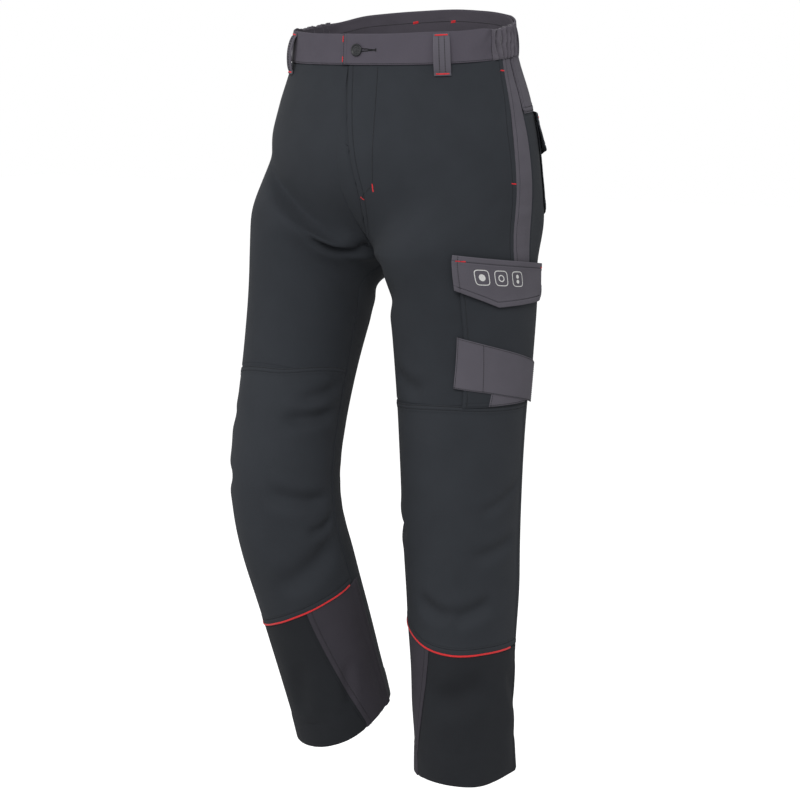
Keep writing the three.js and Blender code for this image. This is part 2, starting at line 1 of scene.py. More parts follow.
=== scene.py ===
import bpy
import numpy as np
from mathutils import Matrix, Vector


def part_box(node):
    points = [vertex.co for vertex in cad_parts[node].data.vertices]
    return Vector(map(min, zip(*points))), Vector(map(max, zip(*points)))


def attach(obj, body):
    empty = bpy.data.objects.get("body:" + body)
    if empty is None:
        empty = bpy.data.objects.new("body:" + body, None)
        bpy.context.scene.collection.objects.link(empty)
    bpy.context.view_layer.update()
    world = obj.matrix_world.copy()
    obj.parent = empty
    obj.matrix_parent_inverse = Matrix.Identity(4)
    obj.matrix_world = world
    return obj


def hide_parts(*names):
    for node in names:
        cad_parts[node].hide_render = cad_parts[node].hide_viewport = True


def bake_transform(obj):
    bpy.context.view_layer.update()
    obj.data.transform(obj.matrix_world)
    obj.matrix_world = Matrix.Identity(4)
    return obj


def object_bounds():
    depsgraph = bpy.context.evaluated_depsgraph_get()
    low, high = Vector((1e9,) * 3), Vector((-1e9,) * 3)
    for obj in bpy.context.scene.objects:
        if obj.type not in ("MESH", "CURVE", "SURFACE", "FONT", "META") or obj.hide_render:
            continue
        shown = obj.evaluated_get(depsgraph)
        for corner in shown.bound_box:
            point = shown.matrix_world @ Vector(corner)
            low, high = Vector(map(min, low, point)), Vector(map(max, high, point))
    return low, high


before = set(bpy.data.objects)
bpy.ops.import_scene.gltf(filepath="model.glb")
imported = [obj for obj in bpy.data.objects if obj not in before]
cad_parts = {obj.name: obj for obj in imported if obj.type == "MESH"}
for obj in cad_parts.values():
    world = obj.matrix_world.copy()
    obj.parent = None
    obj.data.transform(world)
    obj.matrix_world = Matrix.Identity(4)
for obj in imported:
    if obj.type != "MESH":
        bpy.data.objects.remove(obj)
cad_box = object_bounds()

# ------------------------------------------------------------------ the view
# The trousers stand as a shop shows them: worn, cut out and lit softly from the front, on a plain
# pale floor. The camera looks a little down on the wearer's left front.
SCENE = bpy.context.scene
LOOK_AT = Vector((-0.006, 0.0, -0.515))
VIEW_TURN, VIEW_TILT, VIEW_DISTANCE, LENS = np.radians(36.0), np.radians(8.0), 3.8, 120.6
camera = bpy.data.objects.new("camera", bpy.data.cameras.new("camera"))
SCENE.collection.objects.link(camera)
camera.location = LOOK_AT + VIEW_DISTANCE * Vector((
    np.sin(VIEW_TURN) * np.cos(VIEW_TILT), -np.cos(VIEW_TURN) * np.cos(VIEW_TILT), np.sin(VIEW_TILT)))
camera.rotation_euler = (LOOK_AT - camera.location).to_track_quat("-Z", "Y").to_euler()
camera.data.lens = LENS
camera.data.sensor_width = 36.0
camera.data.clip_end = 50.0
SCENE.camera = camera
SCENE.view_settings.view_transform = "Standard"

LAMPS = (
    ("key", (1.7, -3.1, 1.9), 2.0, 78.0),
    ("fill", (-2.8, -2.3, 0.8), 2.2, 26.0),
    ("back_left", (-2.6, 1.8, 0.9), 1.8, 8.0),
    ("back_right", (2.4, 2.6, 0.8), 1.8, 8.0))
for name, place, size, power in LAMPS:
    lamp = bpy.data.lights.new(name, "AREA")
    lamp.size = size
    lamp.energy = power
    holder = bpy.data.objects.new(name, lamp)
    holder.location = place
    holder.visible_camera = False
    towards = Vector((0.0, 0.0, -0.5)) - holder.location
    holder.rotation_euler = towards.to_track_quat("-Z", "Y").to_euler()
    SCENE.collection.objects.link(holder)

world = bpy.data.worlds.new("studio")
SCENE.world = world
world.use_nodes = True
LIGHT_FROM_ALL_ROUND, BACKDROP_LIGHT, WHITE = 0.44, 1.0, (1.0, 1.0, 1.0, 1.0)
backdrop = world.node_tree.nodes["Background"]
backdrop.inputs["Color"].default_value = WHITE
seen = world.node_tree.nodes.new("ShaderNodeLightPath")
level = world.node_tree.nodes.new("ShaderNodeMapRange")
level.inputs["To Min"].default_value = LIGHT_FROM_ALL_ROUND
level.inputs["To Max"].default_value = BACKDROP_LIGHT
world.node_tree.links.new(seen.outputs["Is Camera Ray"], level.inputs["Value"])
world.node_tree.links.new(level.outputs["Result"], backdrop.inputs["Strength"])

floor_mesh = bpy.data.meshes.new("floor")
FLOOR_SIZE, FLOOR_DROP = 14.0, 0.25
floor_z = cad_box[0][2] - FLOOR_DROP
floor_corners = [(x * FLOOR_SIZE, y * FLOOR_SIZE, floor_z) for x, y in ((-1, -1), (1, -1), (1, 1), (-1, 1))]
floor_mesh.from_pydata(floor_corners, [], [(0, 1, 2, 3)])
floor = bpy.data.objects.new("floor", floor_mesh)
SCENE.collection.objects.link(floor)
pale = bpy.data.materials.new("pale_floor")
pale.use_nodes = True
floor_shader = pale.node_tree.nodes["Principled BSDF"]
floor_shader.inputs["Base Color"].default_value = (0.9, 0.9, 0.9, 1.0)
floor_shader.inputs["Roughness"].default_value = 1.0
floor_shader.inputs["Emission Color"].default_value = WHITE
floor_shader.inputs["Emission Strength"].default_value = 0.66
floor_mesh.materials.append(pale)
floor.visible_diffuse = False
floor.visible_glossy = False

# ------------------------------------------------------------------ front panels
# One black panel each side, of 300 g flame-resistant twill, from the waistband down to the knee seam.
# The side pocket's mouth is a turned edge near the side; the left front laps over the right at the fly.
CROTCH, SEAT_END, KNEE, KNEE_REACH, OUTSEAM = 0.300, 0.150, 0.662, 0.110, 1.041
BAND_HEIGHT, KNEE_SEAM = 0.042, 0.505
SEAT_DEPTHS = (0.0, 0.040, 0.100, 0.150, 0.200, 0.300)
SEAT_HALF_WIDTH = (0.1655, 0.169, 0.189, 0.202, 0.206, 0.202)
SEAT_FRONT = (0.124, 0.127, 0.141, 0.152, 0.154, 0.132)
SEAT_BACK = (0.124, 0.129, 0.148, 0.160, 0.166, 0.148)
LEG_DEPTHS = (0.150, 0.300, 0.340, 0.400, 0.520, 0.640, 0.760, 0.880, OUTSEAM)
LEG_SHIFT = (-0.010, -0.018, -0.010, -0.002, 0.0, 0.0, 0.0, 0.0, 0.0)
HIP_Y, HIP_Z = 0.005, -0.215
BACK_RISE, RISE_DEPTH, CREASE_WIDTH = 0.034, 0.160, 0.075
LEG_TWIST = np.radians(11.0)
CLOTH, DOUBLED = 0.0013, 0.0018
CREASE_GIRTH = 0.50

LEFT = dict(
    name="left", side=1.0, knee_bend=np.radians(2.0), hip_lift=0.0, hem_dip=0.001,
    piping=(0.806, 0.826, 0.844, 0.851, 0.852, 0.852),
    gusset=(0.215, 0.130),
    centre=(0.098, 0.101, 0.106, 0.103, 0.1005, 0.100, 0.099, 0.0985, 0.098),
    half_width=(0.104, 0.101, 0.092, 0.094, 0.087, 0.082, 0.077, 0.0725, 0.071),
    front=(0.130, 0.124, 0.117, 0.108, 0.098, 0.092, 0.086, 0.080, 0.075),
    back=(0.150, 0.128, 0.124, 0.112, 0.102, 0.094, 0.089, 0.085, 0.080),
    # each crease: from (u, s) to (u, s), half width, depth; the depth is negative for a ridge
    creases=((0.18, 0.768, 0.30, 0.800, 0.017, 0.0062), (0.28, 0.800, 0.42, 0.774, 0.017, 0.0060),
             (0.20, 0.920, 0.42, 0.895, 0.030, 0.0075), (0.12, 0.455, 0.24, 0.486, 0.018, 0.0045),
             (0.03, 0.660, 0.14, 0.690, 0.015, 0.0045), (0.36, 0.655, 0.52, 0.610, 0.012, 0.0030),
             (0.34, 0.715, 0.50, 0.690, 0.015, 0.0040), (0.62, 0.640, 0.95, 0.655, 0.017, 0.0035),
             (0.58, 0.690, 0.90, 0.700, 0.017, 0.0035), (0.66, 0.590, 0.97, 0.610, 0.015, 0.0030),
             (0.03, 0.330, 0.18, 0.300, 0.014, 0.0022), (0.04, 0.380, 0.20, 0.335, 0.016, 0.0024),
             (0.66, 0.300, 0.95, 0.345, 0.018, 0.0045), (0.62, 0.345, 0.92, 0.385, 0.018, 0.0035),
             (0.48, 0.880, 0.56, 0.960, 0.018, 0.0030), (0.70, 0.900, 0.82, 0.990, 0.020, 0.0040),
             (0.56, 0.262, 0.86, 0.262, 0.075, -0.0110), (0.54, 0.435, 0.84, 0.435, 0.070, 0.0045),
             (0.50, 0.930, 0.86, 0.930, 0.130, 0.0070)))
RIGHT = dict(
    name="right", side=-1.0, knee_bend=np.radians(41.0), hip_lift=np.radians(19.5), hem_dip=0.026,
    piping=(0.802, 0.803, 0.810, 0.820, 0.839, 0.846),
    gusset=(0.175, 0.090),
    centre=(0.098, 0.100, 0.113, 0.118, 0.115, 0.107, 0.100, 0.0975, 0.097),
    half_width=(0.104, 0.100, 0.082, 0.078, 0.073, 0.072, 0.071, 0.070, 0.069),
    front=(0.130, 0.124, 0.120, 0.107, 0.094, 0.088, 0.085, 0.081, 0.077),
    back=(0.150, 0.116, 0.108, 0.104, 0.096, 0.091, 0.088, 0.086, 0.082),
    creases=((0.01, 0.540, 0.20, 0.574, 0.014, 0.0070), (0.01, 0.500, 0.16, 0.545, 0.013, 0.0040),
             (0.01, 0.664, 0.24, 0.648, 0.014, 0.0075), (0.01, 0.692, 0.12, 0.700, 0.010, 0.0045),
             (0.01, 0.722, 0.26, 0.765, 0.024, 0.0070), (0.38, 0.560, 0.50, 0.585, 0.013, 0.0030),
             (0.36, 0.640, 0.52, 0.630, 0.014, 0.0030), (0.62, 0.615, 0.93, 0.630, 0.016, 0.0035),
             (0.60, 0.660, 0.92, 0.668, 0.017, 0.0040), (0.62, 0.705, 0.92, 0.700, 0.016, 0.0035),
             (0.64, 0.570, 0.92, 0.585, 0.016, 0.0030),
             (0.03, 0.330, 0.22, 0.290, 0.014, 0.0025), (0.03, 0.365, 0.26, 0.318, 0.016, 0.0026),
             (0.64, 0.310, 0.95, 0.350, 0.018, 0.0045), (0.10, 0.900, 0.13, 0.985, 0.014, 0.0035),
             (0.24, 0.880, 0.30, 0.985, 0.022, 0.0030), (0.70, 0.880, 0.80, 0.980, 0.020, 0.0040),
             (0.005, 0.250, 0.17, 0.328, 0.018, 0.0110)))


def ramp(t):
    """Three t squared less two t cubed, with t held between 0 and 1."""
    t = np.clip(t, 0.0, 1.0)
    return t * t * (3.0 - 2.0 * t)


def through(stations, values, x):
    """The cubic curve through the stations whose slope at each comes from its two neighbours."""
    stations, values = np.asarray(stations, float), np.asarray(values, float)
    slopes = np.gradient(values, stations)
    x = np.clip(x, stations[0], stations[-1])
    i = np.clip(np.searchsorted(stations, x, side="right") - 1, 0, len(stations) - 2)
    h = stations[i + 1] - stations[i]
    t = (x - stations[i]) / h
    return ((2 * t ** 3 - 3 * t ** 2 + 1) * values[i] + (t ** 3 - 2 * t ** 2 + t) * h * slopes[i]
            + (3 * t ** 2 - 2 * t ** 3) * values[i + 1] + (t ** 3 - t ** 2) * h * slopes[i + 1])


def leg_line(bend, s):
    """The leg's middle line as (angle, y, z): straight down, then leaning back by a ramp over the knee."""
    step = 0.001
    depths = np.arange(0.0, OUTSEAM + 0.04, step)
    angles = bend * ramp((depths + step / 2 - KNEE + KNEE_REACH) / (2 * KNEE_REACH))
    y = np.concatenate([[0.0], np.cumsum(np.sin(angles) * step)])[:-1]
    z = np.concatenate([[0.0], np.cumsum(-np.cos(angles) * step)])[:-1]
    angle = bend * ramp((s - KNEE + KNEE_REACH) / (2 * KNEE_REACH))
    return angle, np.interp(s, depths, y), np.interp(s, depths, z)


def surface(half, u, s):
    """The worn shape. u runs round a half: 0 at the centre front and inseam, 0.5 at the side, 1 at the centre
    back. s is the depth below the top edge. An ellipse for the seat turns into an ellipse for the leg."""
    u, s = np.broadcast_arrays(np.asarray(u, float), np.asarray(s, float))
    near_centre = np.abs(np.cos(np.pi * u)) ** 4
    tau = np.clip((s - SEAT_END) / (CROTCH - SEAT_END), 0.0, 1.0)
    dip = tau + (np.sin(np.pi * tau / 2) - tau) * near_centre
    depth = np.where((s > CROTCH) | (s < SEAT_END), s, SEAT_END + (CROTCH - SEAT_END) * dip)
    leg_share = ramp(tau) + (1 - np.cos(np.pi * tau / 2) - ramp(tau)) * near_centre
    level = np.minimum(depth, CROTCH)
    seat_y = -np.where(np.cos(np.pi * u) > 0, through(SEAT_DEPTHS, SEAT_FRONT, level),
                       through(SEAT_DEPTHS, SEAT_BACK, level)) * np.cos(np.pi * u)
    seat_x = through(SEAT_DEPTHS, SEAT_HALF_WIDTH, level) * np.sin(np.pi * u)
    ring_x = -through(LEG_DEPTHS, half["half_width"], s) * np.cos(2 * np.pi * u)
    ring_y = -np.where(np.sin(2 * np.pi * u) > 0, through(LEG_DEPTHS, half["front"], s),
                       through(LEG_DEPTHS, half["back"], s)) * np.sin(2 * np.pi * u)
    turn = half["side"] * LEG_TWIST * ramp((s - CROTCH) / 0.25)
    turned_x = ring_x * np.cos(turn) - ring_y * np.sin(turn)
    turned_y = ring_x * np.sin(turn) + ring_y * np.cos(turn) + through(LEG_DEPTHS, LEG_SHIFT, s)
    angle, middle_y, middle_z = leg_line(half["knee_bend"], s)
    leg_x = through(LEG_DEPTHS, half["centre"], s) + turned_x
    leg_z = np.where(s < CROTCH, -depth, middle_z + turned_y * np.sin(angle))
    x = seat_x + (leg_x - seat_x) * leg_share
    x = np.where(s > SEAT_END, np.maximum(x, 0.0), x)
    y = seat_y + (middle_y + turned_y * np.cos(angle) - seat_y) * leg_share
    towards_back = np.clip(y / 0.130, -1, 1) * 0.5 + 0.5
    rise = BACK_RISE * towards_back ** 1.5 * np.clip(1 - depth / RISE_DEPTH, 0, 1)
    z = -depth + (leg_z + depth) * leg_share + rise
    lift = half["hip_lift"] * ramp((x - z - CROTCH) * np.sqrt(0.5) / CREASE_WIDTH)
    dy, dz = y - HIP_Y, z - HIP_Z
    y, z = HIP_Y + dy * np.cos(lift) + dz * np.sin(lift), HIP_Z - dy * np.sin(lift) + dz * np.cos(lift)
    return np.stack([half["side"] * x, y, z], -1)


def outward(half, u, s):
    """The unit direction out of the cloth and the length of one u round it, from central differences."""
    du, ds = 0.002, 0.002
    across = (surface(half, u + du, s) - surface(half, u - du, s)) / (2 * du)
    down = (surface(half, u, s + ds) - surface(half, u, s - ds)) / (2 * ds)
    normal = -half["side"] * np.cross(across, down)
    normal /= np.maximum(np.linalg.norm(normal, axis=-1, keepdims=True), 1e-9)
    return normal, np.maximum(np.linalg.norm(across, axis=-1), 0.05)


LATTICE = np.random.default_rng(7).random((64, 64)) * 2 - 1


def soft_noise(x, y):
    """Random values at whole numbers, joined by ramps in both directions; it repeats every 64."""
    column, row = np.floor(x).astype(int), np.floor(y).astype(int)
    p, q = ramp(x - column), ramp(y - row)
    c0, c1, r0, r1 = column % 64, (column + 1) % 64, row % 64, (row + 1) % 64
    top = LATTICE[r0, c0] * (1 - p) + LATTICE[r0, c1] * p
    low = LATTICE[r1, c0] * (1 - p) + LATTICE[r1, c1] * p
    return top * (1 - q) + low * q


def folds(half, u, s):
    """How far the cloth stands off the plain shape: broad slack, looser towards the hem, and creases.
    A crease is depth times (1.5 d² - 1) times exp(-d²), d being the distance from its line over its
    half width, and it fades in and out along its line."""
    x, offset = CREASE_GIRTH * u, 11.0 if half["side"] > 0 else 37.0
    loose = ramp((s - 0.05) / 0.2) * (0.6 + 0.9 * ramp((s - 0.85) / 0.15))
    high = 0.0014 * soft_noise(x / 0.085 + offset, s / 0.15)
    high = high + 0.0007 * soft_noise(x / 0.030 + offset, s / 0.055)
    high = high * loose * ramp(np.minimum(u, 1 - u) / 0.05)
    for u0, s0, u1, s1, width, depth in half["creases"]:
        ax, bx, by = CREASE_GIRTH * u0, CREASE_GIRTH * (u1 - u0), s1 - s0
        along = ((x - ax) * bx + (s - s0) * by) / (bx * bx + by * by)
        held = np.clip(along, 0, 1)
        bow = 0.005 * np.sin(np.pi * held)
        gap = np.hypot(x - ax - held * bx, s - s0 - held * by - bow) / width
        shape = (1.5 * gap ** 2 - 1) * np.exp(-gap ** 2)
        high = high + depth * shape * ramp(np.minimum(along, 1 - along) / 0.3)
    return high


# how far the rows of stitches are from an edge: of a lap's two rows, of a single row, and of a hem's
FIRST_ROW, SECOND_ROW, SINGLE_ROW, HEM_ROW = 0.0018, 0.0070, 0.0075, 0.0405


def groove(distance, place, width=0.0008):
    """A bell-shaped furrow of depth 1 at its place."""
    return np.exp(-((distance - place) / width) ** 2)


def edge_relief(kind, distance):
    """(outer, inner) height beside an edge, as ramps and grooves of the distance from it. A lap is
    turned under and sewn twice, once is sewn once, under goes beneath its neighbour, butt turns into
    its seam, hem is turned up, bag is a pocket's rounded side, and free is a cut edge."""
    zero = np.zeros_like(distance)
    turned_in = 0.0006 * (1 - ramp(distance / 0.0009))
    folded_under = 0.0009 * (1 - ramp((distance - 0.0045) / 0.001))
    if kind == "lap":
        raised = 1 - ramp((distance - 0.008) / 0.0018)
        outer = 0.0008 * raised - 0.0010 * groove(distance, FIRST_ROW) - 0.0010 * groove(distance, SECOND_ROW)
        return outer - turned_in, folded_under
    if kind == "once":
        raised = 1 - ramp((distance - 0.009) / 0.0018)
        outer = 0.0007 * raised - 0.0010 * groove(distance, SINGLE_ROW)
        return outer - turned_in, folded_under
    if kind == "under":
        return -0.0008 * (1 - ramp((distance - 0.0038) / 0.0015)), zero
    if kind == "butt":
        return -0.0010 * (1 - ramp(distance / 0.0024)), zero
    if kind == "hem":
        outer = 0.0007 * (1 - ramp((distance - 0.0425) / 0.0015)) - 0.0011 * groove(distance, HEM_ROW, 0.0014)
        inner = -0.0007 * (1 - ramp((distance - 0.042) / 0.001))
        return outer - 0.0004 * (1 - ramp(distance / 0.0010)), inner
    if kind == "bag":
        return -0.0030 * (1 - ramp(distance / 0.0030)) ** 1.5 - 0.0005 * groove(distance, 0.006), zero
    if kind == "free":
        return -0.0005 * (1 - ramp(distance / 0.0008)), zero
    return zero, zero


def limit(value):
    """An edge given as a number or a function, as a function."""
    return value if callable(value) else (lambda at: value + 0.0 * np.asarray(at, float))


def relief(piece, u, s):
    """(outer, inner) height of a piece, with the outward direction and girth there: its lift, plus or
    minus half its thickness, plus the folds and its edges' relief."""
    half, kinds = piece["half"], piece["edges"]
    normal, girth = outward(half, u, s)
    distances = ((u - limit(piece["left"])(s)) * girth, (limit(piece["right"])(s) - u) * girth,
                 s - limit(piece["top"])(u), limit(piece["bottom"])(u) - s)
    lift = piece["lift"](u, s) if callable(piece["lift"]) else piece["lift"]
    base = lift + folds(half, u, s) * piece.get("slack", 1.0)
    outer, inner = base + piece["thickness"] / 2, base - piece["thickness"] / 2
    for kind, distance, along in zip(kinds, distances, (s, s, u * girth, u * girth)):
        distance = np.maximum(distance, 0.0)
        high, low = edge_relief(kind, distance)
        outer, inner = outer + high, inner + low
        if kind in ("lap", "once", "hem"):
            pull = np.exp(-distance / (0.03 if kind == "hem" else 0.008))
            pucker = 0.00022 * pull * soft_noise(along / 0.0045 + 3, distance / 0.02)
            outer, inner = outer + pucker, inner + pucker
    for at in piece.get("valleys", ()):
        outer = outer - 0.0010 * groove((u - at) * girth, 0.0, 0.0013)
    if "ripple" in piece:
        more = piece["ripple"](u, s)
        outer, inner = outer + more, inner + more
    return np.maximum(outer, inner + 0.0004), inner, normal, girth


UNDERLAP = 0.0035
ALL_FREE, ALL_ONCE, ALL_PLAIN = ("free",) * 4, ("once",) * 4, ("plain",) * 4
NEAR_EDGE = np.array([0.0, 0.4, 0.9, 1.4, 1.8, 2.4, 3.2, 4.2, 5.4, 6.4, 7.0, 7.7, 8.6, 9.8]) * 0.001


def stations(length, spacing):
    """For the lines of a grid: distances from its first and last edge, and the share between them."""
    near = NEAR_EDGE[NEAR_EDGE < 0.42 * length]
    count = max(int((length - 2 * near[-1]) / spacing), 1)
    share = np.concatenate([np.zeros(len(near)), np.arange(1, count) / count, np.ones(len(near))])
    first = np.concatenate([near, np.full(count - 1, near[-1]), np.full(len(near), near[-1])])
    last = np.concatenate([np.full(len(near), near[-1]), np.full(count - 1, near[-1]), near[::-1]])
    return first, last, share


def grid_of(piece, spacing):
    """(u, s) of a piece's grid: lines gather near the edges; an edge that goes under is lengthened."""
    half, kinds = piece["half"], piece["edges"]
    left, right, top, bottom = (limit(piece[k]) for k in ("left", "right", "top", "bottom"))
    tuck = [UNDERLAP if kind == "under" else 0.0 for kind in kinds]
    s_mid = 0.5 * (top(0.3) + bottom(0.3))
    u_mid = 0.5 * (left(s_mid) + right(s_mid))
    girth = outward(half, u_mid, s_mid)[1]
    wide = max(float((right(s_mid) - left(s_mid)) * girth), 0.004)
    a_first, a_last, a = stations(wide, spacing)
    b_first, b_last, b = stations(max(float(bottom(u_mid) - top(u_mid)), 0.004), spacing)
    a_first, a_last, a = a_first[None, :], a_last[None, :], a[None, :]
    b_first, b_last, b = b_first[:, None], b_last[:, None], b[:, None]
    u = u_mid + 0 * (a + b)
    for _ in range(4):
        s = (1 - b) * (top(u) - tuck[2] + b_first) + b * (bottom(u) + tuck[3] - b_last)
        at_left, at_right = left(s), right(s)
        from_left = (a_first - tuck[0]) / outward(half, at_left, s)[1]
        from_right = (a_last - tuck[1]) / outward(half, at_right, s)[1]
        u = (1 - a) * (at_left + from_left) + a * (at_right - from_right)
    return u, s


def finished(name, mesh, uv=None):
    """A smooth object of a mesh, with (across, down) of its points as its weave's coordinates."""
    if uv is not None:
        layer = mesh.uv_layers.new(name="weave")
        corners = np.zeros(len(mesh.loops), np.int32)
        mesh.loops.foreach_get("vertex_index", corners)
        layer.data.foreach_set("uv", uv[corners].astype(np.float32).ravel())
    mesh.polygons.foreach_set("use_smooth", np.ones(len(mesh.polygons), bool))
    mesh.update()
    made = bpy.data.objects.new(name, mesh)
    SCENE.collection.objects.link(made)
    return made


def solid_grid(name, outer, inner, flip, uv):
    """A closed shell of an outer and an inner grid of points, joined round the rim, shaded smooth."""
    rows, columns = outer.shape[:2]
    index = np.arange(rows * columns).reshape(rows, columns)
    a, b, c, d = index[:-1, :-1], index[:-1, 1:], index[1:, 1:], index[1:, :-1]
    faces = [np.stack([a, b, c, d], -1).reshape(-1, 4)]
    far = rows * columns
    faces.append(np.stack([a, d, c, b], -1).reshape(-1, 4) + far)
    rim = np.concatenate([index[0, :], index[1:, -1], index[-1, -2::-1], index[-2:0:-1, 0]])
    after = np.roll(rim, -1)
    faces.append(np.stack([after, rim, rim + far, after + far], -1))
    faces = np.concatenate(faces)
    if flip:
        faces = faces[:, ::-1]
    points = np.concatenate([outer.reshape(-1, 3), inner.reshape(-1, 3)])
    mesh = bpy.data.meshes.new(name)
    mesh.from_pydata(points.tolist(), [], faces.tolist())
    return finished(name, mesh, np.concatenate([uv.reshape(-1, 2), uv.reshape(-1, 2)]))


def cut_cloth(name, half, left, right, top, bottom, material, edges, lift=0.0, spacing=0.0036,
              thickness=CLOTH, **more):
    """A panel between two edges round the leg and two down it, as a dict with its object. The kinds of
    its edges are in the order left, right, top, bottom. Its weave is laid out in metres of cloth."""
    piece = dict(half=half, left=left, right=right, top=top, bottom=bottom, edges=edges, lift=lift,
                 thickness=thickness, **more)
    u, s = grid_of(piece, spacing)
    outer, inner, normal, girth = relief(piece, u, s)
    middle = surface(half, u, s)
    steps = np.diff(u, axis=1) * 0.5 * (girth[:, 1:] + girth[:, :-1])
    run = np.concatenate([np.zeros((len(u), 1)), np.cumsum(steps, axis=1)], axis=1)
    run = run - run[:, run.shape[1] // 2][:, None]
    made = solid_grid(name, middle + normal * outer[..., None], middle + normal * inner[..., None],
                      half["side"] > 0, np.stack([run, -s], -1))
    made.data.materials.append(material)
    piece["object"] = made
    return piece


def edge_run(piece, edge, inset, start=0.0, end=1.0):
    """(u, s) along one edge of a panel, inset by a distance into it, between two shares of its length."""
    t = np.linspace(start, end, 300)
    half = piece["half"]
    left, right, top, bottom = (limit(piece[k]) for k in ("left", "right", "top", "bottom"))
    if edge in ("left", "right"):
        s = np.zeros(300)
        side, sign = (left, 1.0) if edge == "left" else (right, -1.0)
        for _ in range(3):
            u = side(s)
            s = top(u) + (bottom(u) - top(u)) * t
        u = side(s)
        return u + sign * inset / outward(half, u, s)[1], s
    u = np.full(300, 0.5)
    side, sign = (top, 1.0) if edge == "top" else (bottom, -1.0)
    for _ in range(3):
        s = side(u)
        u = left(s) + (right(s) - left(s)) * t
    return u, side(u) + sign * inset


def stitch_path(piece, u, s, pitch=0.0030, length=0.0024, radius=0.00044, across=False):
    """Stitches along a path on a panel: (middles, directions, outward directions, length, radius)."""
    u, s = np.asarray(u, float), np.asarray(s, float)
    t = np.linspace(0, 1, len(u))
    fine = np.linspace(0, 1, 400)
    u, s = np.interp(fine, t, u), np.interp(fine, t, s)
    outer, _, normal, _ = relief(piece, u, s)
    points = surface(piece["half"], u, s) + normal * (outer + radius * 0.3)[:, None]
    run = np.concatenate([[0.0], np.cumsum(np.linalg.norm(np.diff(points, axis=0), axis=1))])
    count = max(int(run[-1] / pitch), 1)
    at = (np.arange(count) + 0.5) * run[-1] / count
    middle = np.stack([np.interp(at, run, points[:, k]) for k in range(3)], -1)
    ahead = np.stack([np.interp(at + 0.0005, run, points[:, k]) for k in range(3)], -1)
    behind = np.stack([np.interp(at - 0.0005, run, points[:, k]) for k in range(3)], -1)
    up = np.stack([np.interp(at, run, normal[:, k]) for k in range(3)], -1)
    direction = ahead - behind
    direction /= np.maximum(np.linalg.norm(direction, axis=1, keepdims=True), 1e-9)
    if across:
        direction = np.cross(direction, up)
    return middle, direction, up, length, radius


def edge_rows(piece, places):
    """Rows of stitches along a panel's edges, one for each (edge, inset)."""
    return [stitch_path(piece, *edge_run(piece, edge, inset)) for edge, inset in places]


def bar_tack(piece, u0, s0, u1, s1, width=0.0022):
    """A bar of close threads laid across the line from one place to the other."""
    return stitch_path(piece, [u0, u1], [s0, s1], 0.00042, width, 0.00030, across=True)


def sew(name, rows, material):
    """One mesh of all the stitches: each is a four-sided bead with pointed ends."""
    ring = np.array([(0.0, 1.0), (1.0, 0.0), (0.0, -0.6), (-1.0, 0.0)])
    parts = []
    for middle, direction, up, length, radius in rows:
        side = np.cross(direction, up)
        shape = [middle - direction * length / 2]
        for end in (-0.32, 0.32):
            tip = middle + direction * end * length
            shape += [tip + side * x * radius + up * y * radius for x, y in ring]
        shape.append(middle + direction * length / 2)
        parts.append(np.stack(shape, 1))
    points = np.concatenate(parts)
    tips, sides = [], []
    for k in range(4):
        n = (k + 1) % 4
        tips += [(0, 1 + n, 1 + k), (9, 5 + k, 5 + n)]
        sides.append((1 + k, 1 + n, 5 + n, 5 + k))
    starts = 10 * np.arange(len(points))[:, None, None]
    faces = (np.array(tips) + starts).reshape(-1, 3).tolist()
    faces += (np.array(sides) + starts).reshape(-1, 4).tolist()
    mesh = bpy.data.meshes.new(name)
    mesh.from_pydata(points.reshape(-1, 3).tolist(), [], faces)
    made = finished(name, mesh)
    made.data.materials.append(material)
    return made


def black_seams(name, rows, hold, where):
    """Rows of black stitches as one piece, held by a body or with their placement moved into their mesh, like
    the cloth that they are in.
    """
    seams = sew(name, rows, black_thread)
    hold(seams, where)


def red_bars(name, rows, body):
    """Bars of red thread as one piece that rides on a body."""
    bars = sew(name, rows, red_thread)
    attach(bars, body)


def add_node(nodes, kind, **values):
    """A shader node with some of its inputs set; an underscore stands for a space in an input's name."""
    made = nodes.new(kind)
    for label, value in values.items():
        made.inputs[label.replace("_", " ")].default_value = value
    return made


def srgb(r, g, b):
    """A screen colour given as whole numbers up to 255, turned into amounts of light."""
    c = np.array([r, g, b]) / 255.0
    return tuple(np.where(c < 0.04045, c / 12.92, ((c + 0.055) / 1.055) ** 2.4)) + (1.0,)


